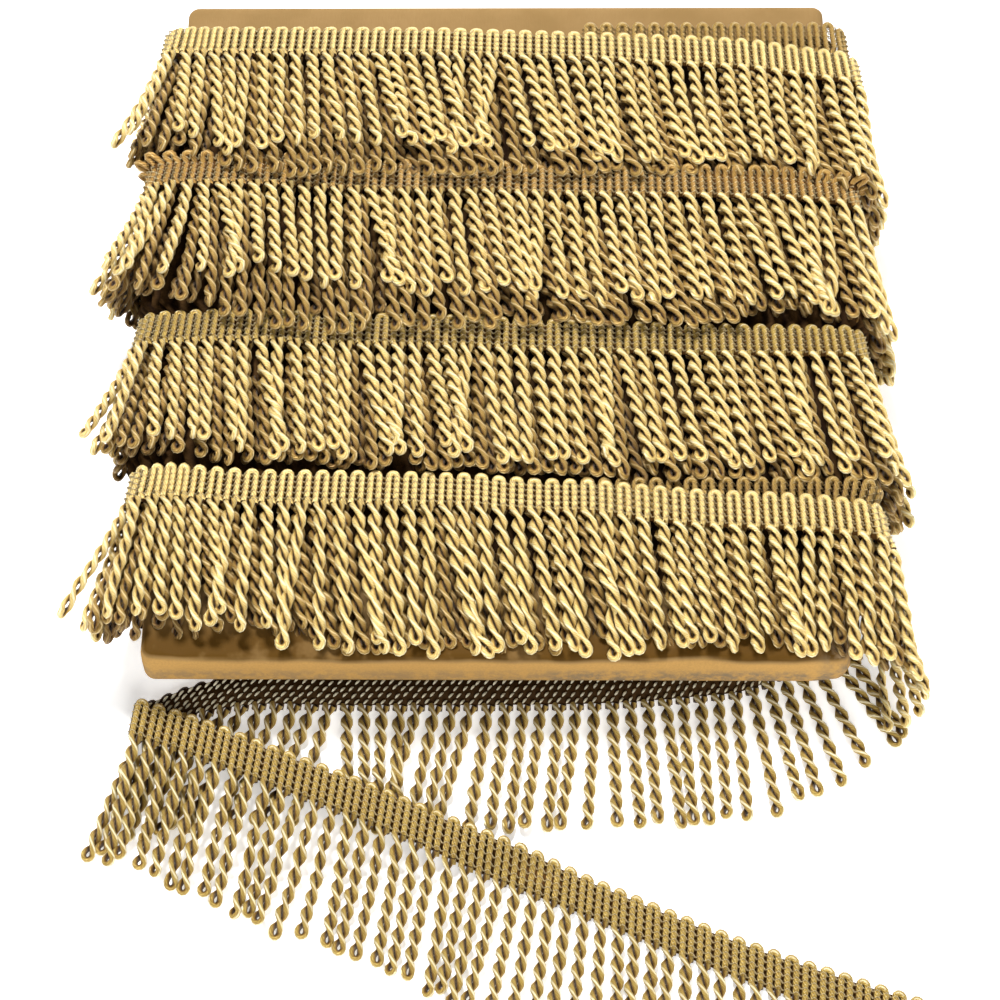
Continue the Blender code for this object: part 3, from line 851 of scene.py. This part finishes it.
def add_stitches(mesh, place, roots):
    """Chain stitches over the legs, one fine thread a row, drawn down between legs as it goes."""
    sway, height, ripple = 0.00034, 0.00236, 0.00054
    pitch = roots[1] - roots[0]
    legs = len(roots) * 2
    u = np.arange(legs * 4 + 1) / 4 * pitch / 2 + roots[0] - pitch / 2
    wave = 2 * math.pi * (u - roots[0] + LEG_SPREAD) / (pitch / 2)
    for row in STITCH_ROWS:
        slip = rng.uniform(0, 0.6)
        w = row + sway * np.sin(wave + 0.6 + slip)
        h = height + ripple * np.cos(wave)
        centres = place(u[None], w[None], h[None])
        above = place(u[None], w[None], h[None] + MM)
        mesh.tubes(centres, STITCH_RADIUS, unit(above - centres), 3, 0.3, groove=0.5)


def make_heading(name, yarn, thread, place, roots, sides=6):
    """A heading's units and the stitches over them, as two pieces."""
    units, stitches = Mesh(), Mesh()
    add_units(units, place, roots, sides)
    add_stitches(stitches, place, roots)
    return units.make(f"{name}_heading", yarn, "yarn"), stitches.make(f"{name}_stitches", thread, "yarn")


def make_tape(name, material, place, length, ring=False, bottom=0.00030, top=0.00085):
    """The woven backing of a heading, as one thin closed strip."""
    low, high = TAPE_EDGES
    count = int(length / 0.0025)
    u = np.linspace(0.0, length, count, endpoint=not ring)
    corners = []
    for w, h in ((low, bottom), (low, top), (high, top), (high, bottom)):
        corners.append(place(u, np.full_like(u, w), np.full_like(u, h)))
    mesh = Mesh()
    # Part way towards the backing's darkest painted shade.
    mesh.grid(np.stack(corners, 0), ring, 0.4, tube=True)
    if not ring:
        ends = np.arange(4) * count
        mesh.close(ends)
        mesh.close((ends + count - 1)[::-1])
    return mesh.make(name, material, "yarn")


def along_x(row, roots, table):
    """A table's value at each strand's root, by x."""
    around = row.around(roots)
    x = pile_point(around, row.near(around), 0.0)[:, 0]
    return np.interp(x, [a for a, _ in table], [b for _, b in table])


def make_row(number, materials):
    """A row's outermost turn: strands, heading, stitches and tape."""
    row = Row(number)
    around = row.around(row.roots)
    upper = 1 - under_share(around)
    count = row.count
    shift = clump(row.roots, 0.0014, along_x(row, row.roots, LEAN[number]), (2, 7))
    shift = shift + rng.normal(0, 0.0009, count)
    shift = shift * upper + rng.normal(0, 0.0006, count) * (1 - upper)
    run = STRAND_RUN + rng.normal(0, 0.0011, count) + clump(row.roots, 0.0008, 0.0, (2, 6))
    run = run + along_x(row, row.roots, REACH[number]) * upper
    beneath = np.clip(along_x(row, row.roots, UNDER_DROP[number]), 0, 0.01)
    rise = rng.uniform(-0.0004, 0.0016, count) + 0.22 * beneath
    rider = (rng.random(count) < RIDERS) * upper
    shift = shift + rider * rng.choice([-1, 1], count) * rng.uniform(0.002, 0.006, count)
    axis, out = lay_strands(row, row.roots, shift, run, UPPER_OFFSET, rise, 0.003 * rider)
    shade = rng.uniform(0, 1, count)
    strands = Mesh()
    seen = upper > 0.25
    add_strands(strands, axis[seen], out[seen], shade[seen])
    hidden = ~seen
    add_strands(strands, axis[hidden], out[hidden], shade[hidden], 2.5, sides=5, size=PRESSED_SIZE)
    piece = strands.make(f"row_{number}_strands", materials["yarn"], "yarn")
    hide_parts(f"tier_{number}")

    yarn, name, length = materials[HEADING_YARN[number]], f"row_{number}", row.length[-1]
    heading, thread = make_heading(name, yarn, materials["thread"], row.heading, row.roots)
    backing = make_tape(f"{name}_backing", materials["backing"], row.heading, length, ring=not row.last)
    return row


def make_lower_heading(row, materials):
    """The part of the heading beneath that shows above the outermost one."""
    around = row.around(row.roots)
    x = pile_point(around, row.near(around), 0.0)[:, 0]
    shown = row.roots[(x > 0.023) & over_pile(around)]
    shown = shown[np.mod(row.around(shown), TURN_LOCKS) < RIGHT_END + 3]
    if row.last:
        shown = shown[row.around(shown) > TURN_LOCKS]
    # The heading beneath takes the darker yarn of the strands beneath: painted shade.
    yarn = materials["under_yarn"]
    make_heading(f"row_{row.number}_lower", yarn, yarn, row.heading_below, shown)


def make_under_strands(row, materials, name, half_turns, base, drop_share, place):
    """Strands of a turn beneath, left out where the outermost ones hide them: they show between those."""
    first = row.place_of(LEFT_END + 1.5)
    last = row.place_of(RIGHT_END + (1.5 if row.last else 4.5))
    if not row.last:
        last += row.length[-1]
    roots = np.arange(first, last, UNDER_PITCH) + PITCH * place
    share = min(half_turns / HALF_TURNS, 1.0)
    lower = along_x(row, roots, UNDER_DROP[row.number])
    lower = np.where(lower < 0, 1, drop_share) * lower + rng.normal(0, 0.0012, len(roots))
    lean = along_x(row, roots, LEAN[row.number]) + 0.35 * np.clip(lower, 0, None)
    shift = clump(roots, 0.0016, lean * share, (2, 6))
    rise = 0.0004 + np.clip(lower, 0, 0.010) * 0.60 + rng.uniform(0, 0.0008, len(roots))
    longer = np.clip(lower + 0.001, 0, None) * (half_turns > HALF_TURNS)
    drop = lower - longer + STRAND_RUN * (1 - share)
    run = longer + STRAND_RUN * share
    axis, out = lay_strands(row, roots, shift, run, base, rise, drop=drop, bulge=1.3)
    strands = Mesh()
    add_strands(strands, axis, out, rng.uniform(0.3, 1, len(roots)), sides=5, half_turns=half_turns)
    # The strands beneath take darker copies of the yarn: painted shade.
    strands.make(f"row_{row.number}_{name}_strands", materials[f"{name}_yarn"], "yarn")


def make_inner_turns(materials):
    """The wound under-layers, seen only in the gaps between strands and rows."""
    columns_round, rows_down, strands_round = 260, 90, 102
    depth, twist_height, bead_height, near_edge_sink = -0.0046, 0.0008, 0.0004, 0.006
    round_turn = np.linspace(0, TURN_LOCKS, columns_round, endpoint=False)
    around, ys = np.meshgrid(round_turn, np.linspace(0.0975, -0.1010, rows_down))
    u = around / TURN_LOCKS * strands_round
    twist = np.cos(2 * math.pi * (u + 0.12 * np.sin(ys * 300)))
    beads = np.cos(2 * math.pi * (u / 2 + ys / 0.0128))
    right = smooth((around - RIGHT_END + 2.5) / 3) * (1 - smooth((around - UNDERSIDE - 1) / 3))
    right = right * (1 - smooth((-0.090 - ys) / 0.010))
    sunk = smooth((-0.075 - ys) / 0.025) * (1 - right)
    offset = depth + twist_height * twist + bead_height * beads - near_edge_sink * sunk
    offset = offset + 0.0022 * np.maximum(end_share(around), 1.3 * right)
    points = pile_point(around, ys, offset)
    mesh = Mesh()
    # Painted shade: darker in the troughs between the inner strands.
    mesh.grid(points, ring=True, groove=smooth(0.5 - 0.5 * twist))
    for rim, flip in ((points[0], True), (points[-1], False)):
        middle = np.array([0.0, rim[:, 1].mean(), CARD_TOP - 0.006])
        hub = rim * 0.9 + middle * 0.1
        hub[:, 1] = rim[:, 1].mean()
        mesh.fans(hub[None], middle[None, None], 1.0, 0.0, flip)
    piece = mesh.make("inner_turns", materials["inner"], "inner_yarn")
    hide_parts("winding")


# Loose end


def way_along(x, y):
    return np.concatenate([[0], np.cumsum(np.hypot(np.diff(x), np.diff(y)))])


def smooth_curve(knots, values, at):
    """A cubic through the knots whose slope at each is that of its neighbours."""
    slopes = np.gradient(values, knots)
    i = np.clip(np.searchsorted(knots, at, side="right") - 1, 0, len(knots) - 2)
    span = knots[i + 1] - knots[i]
    t = (at - knots[i]) / span
    return cubic(values[i], values[i + 1], span * slopes[i], span * slopes[i + 1], t)


def flat_lift(x, y):
    return np.zeros_like(x)


def front_lift(x, y):
    """Height of the front run's underside: on the back run's strands, then down to the table past them."""
    edge = OVERLAP_EDGE - OVERLAP_SLOPE * np.maximum(OVERLAP_LEFT - x, 0)
    return FRONT_LIFT * smooth((y - (edge - OVERLAP_STEP)) / OVERLAP_STEP)


class Run:
    """One run of the loose end: where u and w of its trim lie on the table or on the other run."""

    def __init__(self, table, lift, leg_lean):
        self.leg_lean = math.radians(leg_lean)
        cols = columns(TAIL_COLUMNS, table)
        knots = way_along(cols["x"], cols["y"])
        fine = np.linspace(0, knots[-1], 800)
        self.x, self.y, self.lean = (
            smooth_curve(knots, v, fine) for v in (cols["x"], cols["y"], np.radians(cols["lean"]))
        )
        self.length = way_along(self.x, self.y)
        self.lift = lift
        count = int(self.length[-1] / PITCH)
        self.roots = (np.arange(count) + 0.5) * self.length[-1] / count

    def at(self, u):
        x, y, lean = (np.interp(u, self.length, v) for v in (self.x, self.y, self.lean))
        past = np.clip(u - self.length[-1], 0, None) - np.clip(-u, 0, None)
        dx, dy = self.x[-1] - self.x[-20], self.y[-1] - self.y[-20]
        size = math.hypot(dx, dy)
        return x + past * dx / size, y + past * dy / size, lean

    def heading(self, u, w, h):
        x, y, lean = self.at(u)
        lean = np.clip(lean, -self.leg_lean, None)
        x, y = x - np.sin(lean) * w, y + np.cos(lean) * w
        return np.stack([x, y, self.lift(x, y) + h], -1)


def lay_loose(run, length, shift):
    """Axes and outward directions of a run's strands, which lie on the table or on the other run's."""
    t = np.linspace(0, 1, STATIONS)
    x, y, lean = (v[:, None] for v in run.at(run.roots))
    x2, y2, _ = (v[:, None] for v in run.at(run.roots + 0.001))
    across = unit(np.stack([x2 - x, y2 - y], -1))
    places = np.zeros((len(run.roots), STATIONS, 3))
    reach = length[:, None] * t
    places[..., 0] = x + np.sin(lean) * reach
    places[..., 1] = y - np.cos(lean) * reach
    places[..., :2] += across * (shift[:, None] * t**1.2)[..., None]
    thickest = (PLY_RADIUS + HELIX_RADIUS) * LOOSE_SIZE * (1 + UNEVEN_MOST)
    floor = np.full(places.shape[:2], thickest)
    places[..., 2] = floor
    places = settle(places, floor, passes=40)
    places[..., 2] += run.lift(places[..., 0], places[..., 1])
    out = np.zeros_like(places)
    out[..., 2] = 1.0
    return places, out


def add_wrong_side(mesh, run):
    """The heading's wrong side: short slanting stitches in rows, on a backing whose dark colour is painted
    shade.
    """
    half_length, slant, height, arch, thickest = 0.00068, 0.00050, 0.00255, 0.00034, 0.00038
    pitch = (run.roots[1] - run.roots[0]) / 2
    u = np.arange(run.roots[0] - pitch, run.roots[-1] + pitch, pitch)
    for i, row in enumerate(STITCH_ROWS):
        way = np.linspace(-1, 1, 5)
        slip = rng.normal(0, 0.00012, (len(u), 1))
        along = u[:, None] - slant * way + (0.5 * pitch if i % 2 else 0.0) + slip
        w = row + half_length * way + rng.normal(0, 0.00018, (len(u), 1))
        h = height + arch * (1 - way**2) + np.zeros_like(along)
        centres = run.heading(along, w, h)
        above = run.heading(along, w, h + MM)
        radius = thickest * np.sqrt(1 - 0.8 * way**2)
        mesh.tubes(centres, radius, unit(above - centres), 5, 0.0, groove=0.2)


def make_loose_strands(run, name, yarn, spread, group, scatter):
    """A run's strands, whose tips move along it by groups of neighbours and each by itself."""
    count = len(run.roots)
    shift = clump(run.roots, spread, 0.0, group) + rng.normal(0, scatter, count)
    axis, out = lay_loose(run, STRAND_RUN + rng.normal(0, 0.0008, count), shift)
    strands = Mesh()
    add_strands(strands, axis, out, rng.uniform(0, 1, count), 4.5, sides=7, size=LOOSE_SIZE)
    return strands.make(name, yarn, "yarn")


def make_loose_end(materials):
    back, front = Run(TAIL_BACK, flat_lift, 15), Run(TAIL_FRONT, front_lift, 7)
    # The loose end takes a darker copy of the yarn: painted shade.
    yarn = materials["darker_shaded_yarn"]
    strands_back = make_loose_strands(back, "loose_back_strands", yarn, 0.0022, (2, 6), 0.0012)
    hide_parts("tail_back")
    strands_front = make_loose_strands(front, "loose_front_strands", yarn, 0.0016, (2, 5), 0.0010)
    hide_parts("tail_front")

    units, wrong = Mesh(), Mesh()
    add_units(units, back.heading, back.roots, 6, flipped=True)
    # The back run's heading, under the card, takes a darker copy of the yarn: painted shade.
    units_back = units.make("loose_back_heading", materials["under_yarn"], "yarn")
    add_wrong_side(wrong, back)
    # The wrong side's stitches take a lighter copy of the thread: painted light, as they lie in the card's
    # shadow.
    wrong_side_painted_light = wrong.make("loose_back_stitches", materials["wrong_side_painted_light"], "yarn")
    length = back.length[-1]
    wrong_side_up = {"bottom": 0.0019, "top": 0.0024}
    backing = make_tape("loose_back_backing", materials["inner"], back.heading, length, **wrong_side_up)

    length = front.length[-1]
    thread, roots = materials["thread"], front.roots
    units_front, thread_front = make_heading("loose_front", yarn, thread, front.heading, roots, sides=7)
    backing = make_tape("loose_front_backing", materials["backing"], front.heading, length)


# Board


def rounded_rectangle(half_x, half_y, corner, inset):
    """Points round the card's outline, drawn in by inset, and always as many, so outlines can be joined."""
    radius = max(corner - inset, 0.0003)
    x, y = half_x - inset - radius, half_y - inset - radius
    bend = np.radians(np.linspace(0, 90, 7))
    arcs = []
    for i, (sign_x, sign_y) in enumerate(((1, 1), (-1, 1), (-1, -1), (1, -1))):
        angle = bend + i * math.pi / 2
        arcs.append(np.stack([sign_x * x + radius * np.cos(angle), sign_y * y + radius * np.sin(angle)], -1))
    parts = []
    for i, arc in enumerate(arcs):
        after = arcs[(i + 1) % 4][0]
        count = 80 if i % 2 else 150
        share = np.linspace(0, 1, count + 2)[1:-1, None]
        parts += [arc, arc[-1] * (1 - share) + after * share]
    return np.concatenate(parts)


def waves(x, rates, seed):
    """Uneven ripples from -1 to 1, as sums of a few waves."""
    phases = np.random.default_rng(seed).uniform(0, 2 * math.pi, len(rates))
    return sum(np.sin(rate * x + phase) for rate, phase in zip(rates, phases)) / len(rates)


def make_board(materials):
    """The card: a slab with round edges, creased under the tips, and crushed and worn at its near edge."""
    radius, corner = 0.0022, 0.0035
    ripple_height, crease_depth, dent_depth, wrap_depth = 0.0007, 0.0005, 0.0014, 0.0013
    half_x, half_y = CARD_WIDTH / 2, CARD_LENGTH / 2
    middle, half_z = (CARD_UNDERSIDE + CARD_TOP) / 2, (CARD_TOP - CARD_UNDERSIDE) / 2
    insets = (0.095, 0.07, 0.05, 0.035, 0.025, 0.018, 0.013, 0.0095, 0.007, 0.005, 0.0036)
    inward = [(inset, half_z) for inset in insets]
    bends = [math.pi / 2 * i / 4 for i in range(5)]
    edge = [(radius * (1 - math.sin(a)), half_z - radius * (1 - math.cos(a))) for a in bends]
    sides = [(0.0, z) for z in np.linspace(half_z - radius, radius - half_z, 7)[1:-1]]
    below = [(d, -z) for d, z in edge[::-1]] + [(d, -z) for d, z in inward[::-3]]
    wall = inward + edge + sides + below
    rings = [rounded_rectangle(half_x, half_y, corner, d) for d, _ in wall]
    levels = [np.column_stack([ring, np.full(len(ring), z)]) for ring, (_, z) in zip(rings, wall)]
    points = np.stack(levels)
    x, y, z = (points[..., i].copy() for i in range(3))
    near = smooth((-0.092 - y) / 0.018)
    upper = smooth(z / half_z)
    ripple = waves(x, (47, 83, 139, 231, 390), 3) * waves(x + 3 * y, (29, 71, 160), 4)
    crease = np.abs(waves(x + 1.5 * y, (110, 190, 420), 5))
    crushed = upper * near * (0.0004 + 0.0009 * np.abs(waves(x, (23, 61, 133, 260), 6)))
    points[..., 2] += near * upper * (ripple_height * ripple - crease_depth * crease) + middle
    points[..., 1] += crushed * smooth((-0.110 - y) / 0.004)
    dent = smooth((x - 0.088) / 0.012) * smooth((-0.100 - y) / 0.012)
    points[..., 2] -= dent_depth * dent * upper
    points[..., :2] *= 1 - 0.010 * (dent * np.abs(z / half_z))[..., None]
    points[..., 2] -= wrap_depth * smooth((-0.100 - y) / 0.012) * smooth(-z / half_z)
    lower = smooth((0.002 - z) / 0.0035) * smooth((z + 0.0062) / 0.001)
    wear = np.maximum(lower * near * smooth((x + 0.02) / 0.05), dent)
    wear = np.maximum(wear, 0.6 * lower * near)
    border = 0.0012 + 0.0005 * waves(x, (41, 97, 173), 8)
    # The dark strip on the top's near edge: partly real glaze, partly painted shade under the strands' tips.
    glazed_and_shaded = near * smooth((z - half_z + border) / 0.0006)
    # The near side face, which the material makes lighter as painted light.
    side = near * smooth((half_z - border - z) / 0.0006) * smooth((z + half_z) / 0.002)
    mesh = Mesh()
    mesh.grid(points, ring=True, groove=glazed_and_shaded)
    worn, painted_light_side_face = [wear.ravel()], [side.ravel()]
    for rim, flip in ((points[0], True), (points[-1], False)):
        mesh.fans(rim[None], rim.mean(0)[None, None], 0.0, 0.0, flip)
        for share in (worn, painted_light_side_face):
            share.append(np.zeros(len(rim) + 1))
    extra = {"wear": np.concatenate(worn), "side": np.concatenate(painted_light_side_face)}
    piece = mesh.make("board", materials["board"], "board", extra)
    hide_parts("card")


# How far the outermost strands' tips move along their heading, by x
LEAN = {
    1: ((-0.11, -0.001), (-0.095, 0.004), (-0.07, 0.006), (0.00, 0.005), (0.06, 0.006), (0.11, 0.007)),
    2: ((-0.11, 0.000), (-0.09, 0.003), (-0.05, 0.0035), (0.00, 0.004), (0.06, 0.0045), (0.11, 0.006)),
    3: ((-0.11, -0.001), (-0.09, 0.0025), (0.00, 0.003), (0.06, 0.004), (0.11, 0.006)),
    4: (
        (-0.11, -0.001), (-0.10, 0.001), (-0.085, 0.003), (-0.06, 0.0045), (0.00, 0.004), (0.06, 0.005),
        (0.11, 0.006),
    ),
}
# How much longer than STRAND_RUN the outermost strands hang, by x
REACH = {
    1: ((-0.11, -0.0008), (0.11, -0.0008)),
    2: (
        (-0.11, -0.0005), (-0.08, -0.002), (-0.035, -0.002), (0.00, -0.0005), (0.03, 0.002), (0.09, 0.0015),
        (0.10, 0.004),
    ),
    3: ((-0.11, -0.0008), (0.11, -0.0008)),
    4: (
        (-0.11, 0.003), (-0.10, 0.004), (-0.087, -0.002), (-0.06, -0.001), (-0.045, 0.004), (-0.01, 0.004),
        (0.00, -0.001), (0.02, 0.002), (0.03, 0.002), (0.045, -0.003), (0.11, -0.003),
    ),
}
# How far the tips of each row's strands stand out from the pile's right and left ends
RIGHT_FLARE = {1: 0.0025, 2: 0.0035, 3: 0.0058, 4: 0.0062}
LEFT_FLARE = {1: 0.0030, 2: 0.0070, 3: 0.0030, 4: 0.0035}
# How far each row's left end is drawn in
LEFT_DRAW = {1: 0.0020, 2: 0.0, 3: 0.0010, 4: 0.0030}
# One strand a row hangs away from the rest: its place round the turn, and how much further out its tip is
STRAY_PLACE = {1: 49.2, 2: 48.4, 3: 48.8, 4: 48.6}
STRAY_REACH = {1: 0.005, 2: 0.003, 3: 0.004, 4: 0.010}
# Rows 2 and 3's headings lie in the shade of the tips above them and take darker copies of the yarn: painted
# shade.
HEADING_YARN = {1: "yarn", 2: "shaded_yarn", 3: "darker_shaded_yarn", 4: "yarn"}
RIDERS = 0.20  # share of the strands that lie across their neighbours

# Millimetres of y of each heading's near edge, by place round the turn (from the left end to the right one)
HEADING_NEAR = {
    1: (
        (-6.0, 87.0), (-0.6, 87.9), (5.0, 87.4), (7.5, 87.3), (9.4, 86.2), (11.3, 85.4), (12.6, 84.9),
        (13.8, 84.2), (15.1, 83.6), (16.4, 82.5), (17.0, 81.4), (18.2, 78.9), (19.7, 76.6), (20.8, 75.2),
        (25.0, 73.0),
    ),
    2: (
        (-6.0, 36.0), (-1.0, 37.7), (0.4, 39.1), (2.6, 39.1), (3.3, 38.8), (4.5, 37.4), (5.8, 36.6),
        (9.4, 36.0), (10.1, 35.0), (12.6, 34.3), (15.0, 33.9), (17.5, 33.2), (18.7, 31.6), (20.3, 30.0),
        (21.5, 28.5), (25.0, 28.5),
    ),
    3: (
        (-6.0, -14.8), (-2.0, -17.5), (-0.5, -18.2), (0.5, -17.6), (1.7, -16.9), (3.2, -16.9), (4.1, -17.8),
        (6.5, -18.6), (8.9, -19.3), (10.1, -20.2), (12.6, -21.3), (14.9, -22.0), (17.3, -22.2), (19.0, -22.4),
        (19.7, -23.0), (21.5, -24.5), (25.0, -22.3),
    ),
    4: (
        (-6.0, -71.3), (-2.0, -70.4), (-0.5, -69.9), (0.8, -69.0), (2.0, -70.2), (3.2, -71.1), (6.5, -71.6),
        (9.0, -72.3), (9.6, -73.3), (10.8, -74.1), (12.0, -74.3), (13.7, -76.0), (14.9, -77.1), (16.6, -77.8),
        (17.8, -78.6), (19.0, -80.3), (25.0, -80.3),
    ),
}

# y of the near edge of the heading that shows above the outermost one
LOWER_HEADING = {1: 0.0892, 4: -0.0737}

# How much lower than the outermost ones the strands beneath hang, by x
UNDER_DROP = {
    1: (
        (-0.11, 0.002), (-0.09, 0.0070), (-0.06, 0.0092), (-0.02, 0.0086), (0.012, 0.0064), (0.03, 0.0047),
        (0.05, 0.001),
    ),
    2: (
        (-0.11, 0.004), (-0.085, 0.010), (-0.07, 0.0160), (-0.06, 0.0156), (-0.045, 0.0123), (0.055, 0.0100),
        (0.07, 0.001),
    ),
    3: ((-0.11, 0.003), (-0.05, 0.0015), (0.03, 0.0020), (0.11, 0.002)),
    4: (
        (-0.10, 0.004), (-0.09, 0.002), (-0.08, -0.004), (-0.06, -0.003), (-0.05, 0.003), (-0.02, 0.002),
        (0.02, -0.003), (0.11, -0.008),
    ),
}

# Colours of each yarn: light (a painted highlight), gold, amber and deep (painted shade). Besides the yarn
# and the thread, they are copies of the one yarn: the shaded, under and deep yarns and the loose end's are
# darker, with painted shade, and the wrong side's is lighter, with painted light.
YARNS = {
    "yarn": ((0.98, 0.90, 0.60), (0.84, 0.65, 0.26), (0.52, 0.32, 0.075), (0.05, 0.02, 0.006)),
    "darker_shaded_yarn": ((0.97, 0.88, 0.60), (0.47, 0.325, 0.082), (0.21, 0.11, 0.018), (0.035, 0.014, 0.004)),
    "shaded_yarn": ((0.80, 0.62, 0.30), (0.46, 0.27, 0.07), (0.20, 0.09, 0.016), (0.03, 0.011, 0.003)),
    "under_yarn": ((0.78, 0.62, 0.32), (0.42, 0.27, 0.075), (0.22, 0.11, 0.02), (0.03, 0.011, 0.003)),
    "deep_yarn": ((0.45, 0.32, 0.13), (0.24, 0.14, 0.038), (0.12, 0.058, 0.012), (0.02, 0.008, 0.003)),
    "thread": ((0.95, 0.84, 0.55), (0.80, 0.62, 0.30), (0.55, 0.36, 0.11), (0.16, 0.065, 0.012)),
    "wrong_side_painted_light": ((1.0, 0.93, 0.70), (1.0, 0.88, 0.56), (0.60, 0.40, 0.14), (0.16, 0.065, 0.012)),
}


def main():
    make_camera()
    make_lights()
    make_floor()
    materials = {name: yarn_material(name, *colours) for name, colours in YARNS.items()}
    # The backings and inner turns get dark colours of painted shade: they show only in gaps and under the
    # card.
    materials["backing"] = inner_material("backing", (0.16, 0.075, 0.018), (0.03, 0.012, 0.004))
    materials["inner"] = inner_material("inner_yarn", (0.09, 0.045, 0.014), (0.010, 0.004, 0.002))
    materials["board"] = board_material()
    make_board(materials)
    make_inner_turns(materials)
    for number in range(1, len(TIERS) + 1):
        row = make_row(number, materials)
        make_under_strands(row, materials, "under", 8, -0.0009, 1.0, 0.5)
        make_under_strands(row, materials, "deep", 5, -0.0034, 0.5, 0.1)
        if number in LOWER_HEADING:
            make_lower_heading(row, materials)
    make_loose_end(materials)


main()
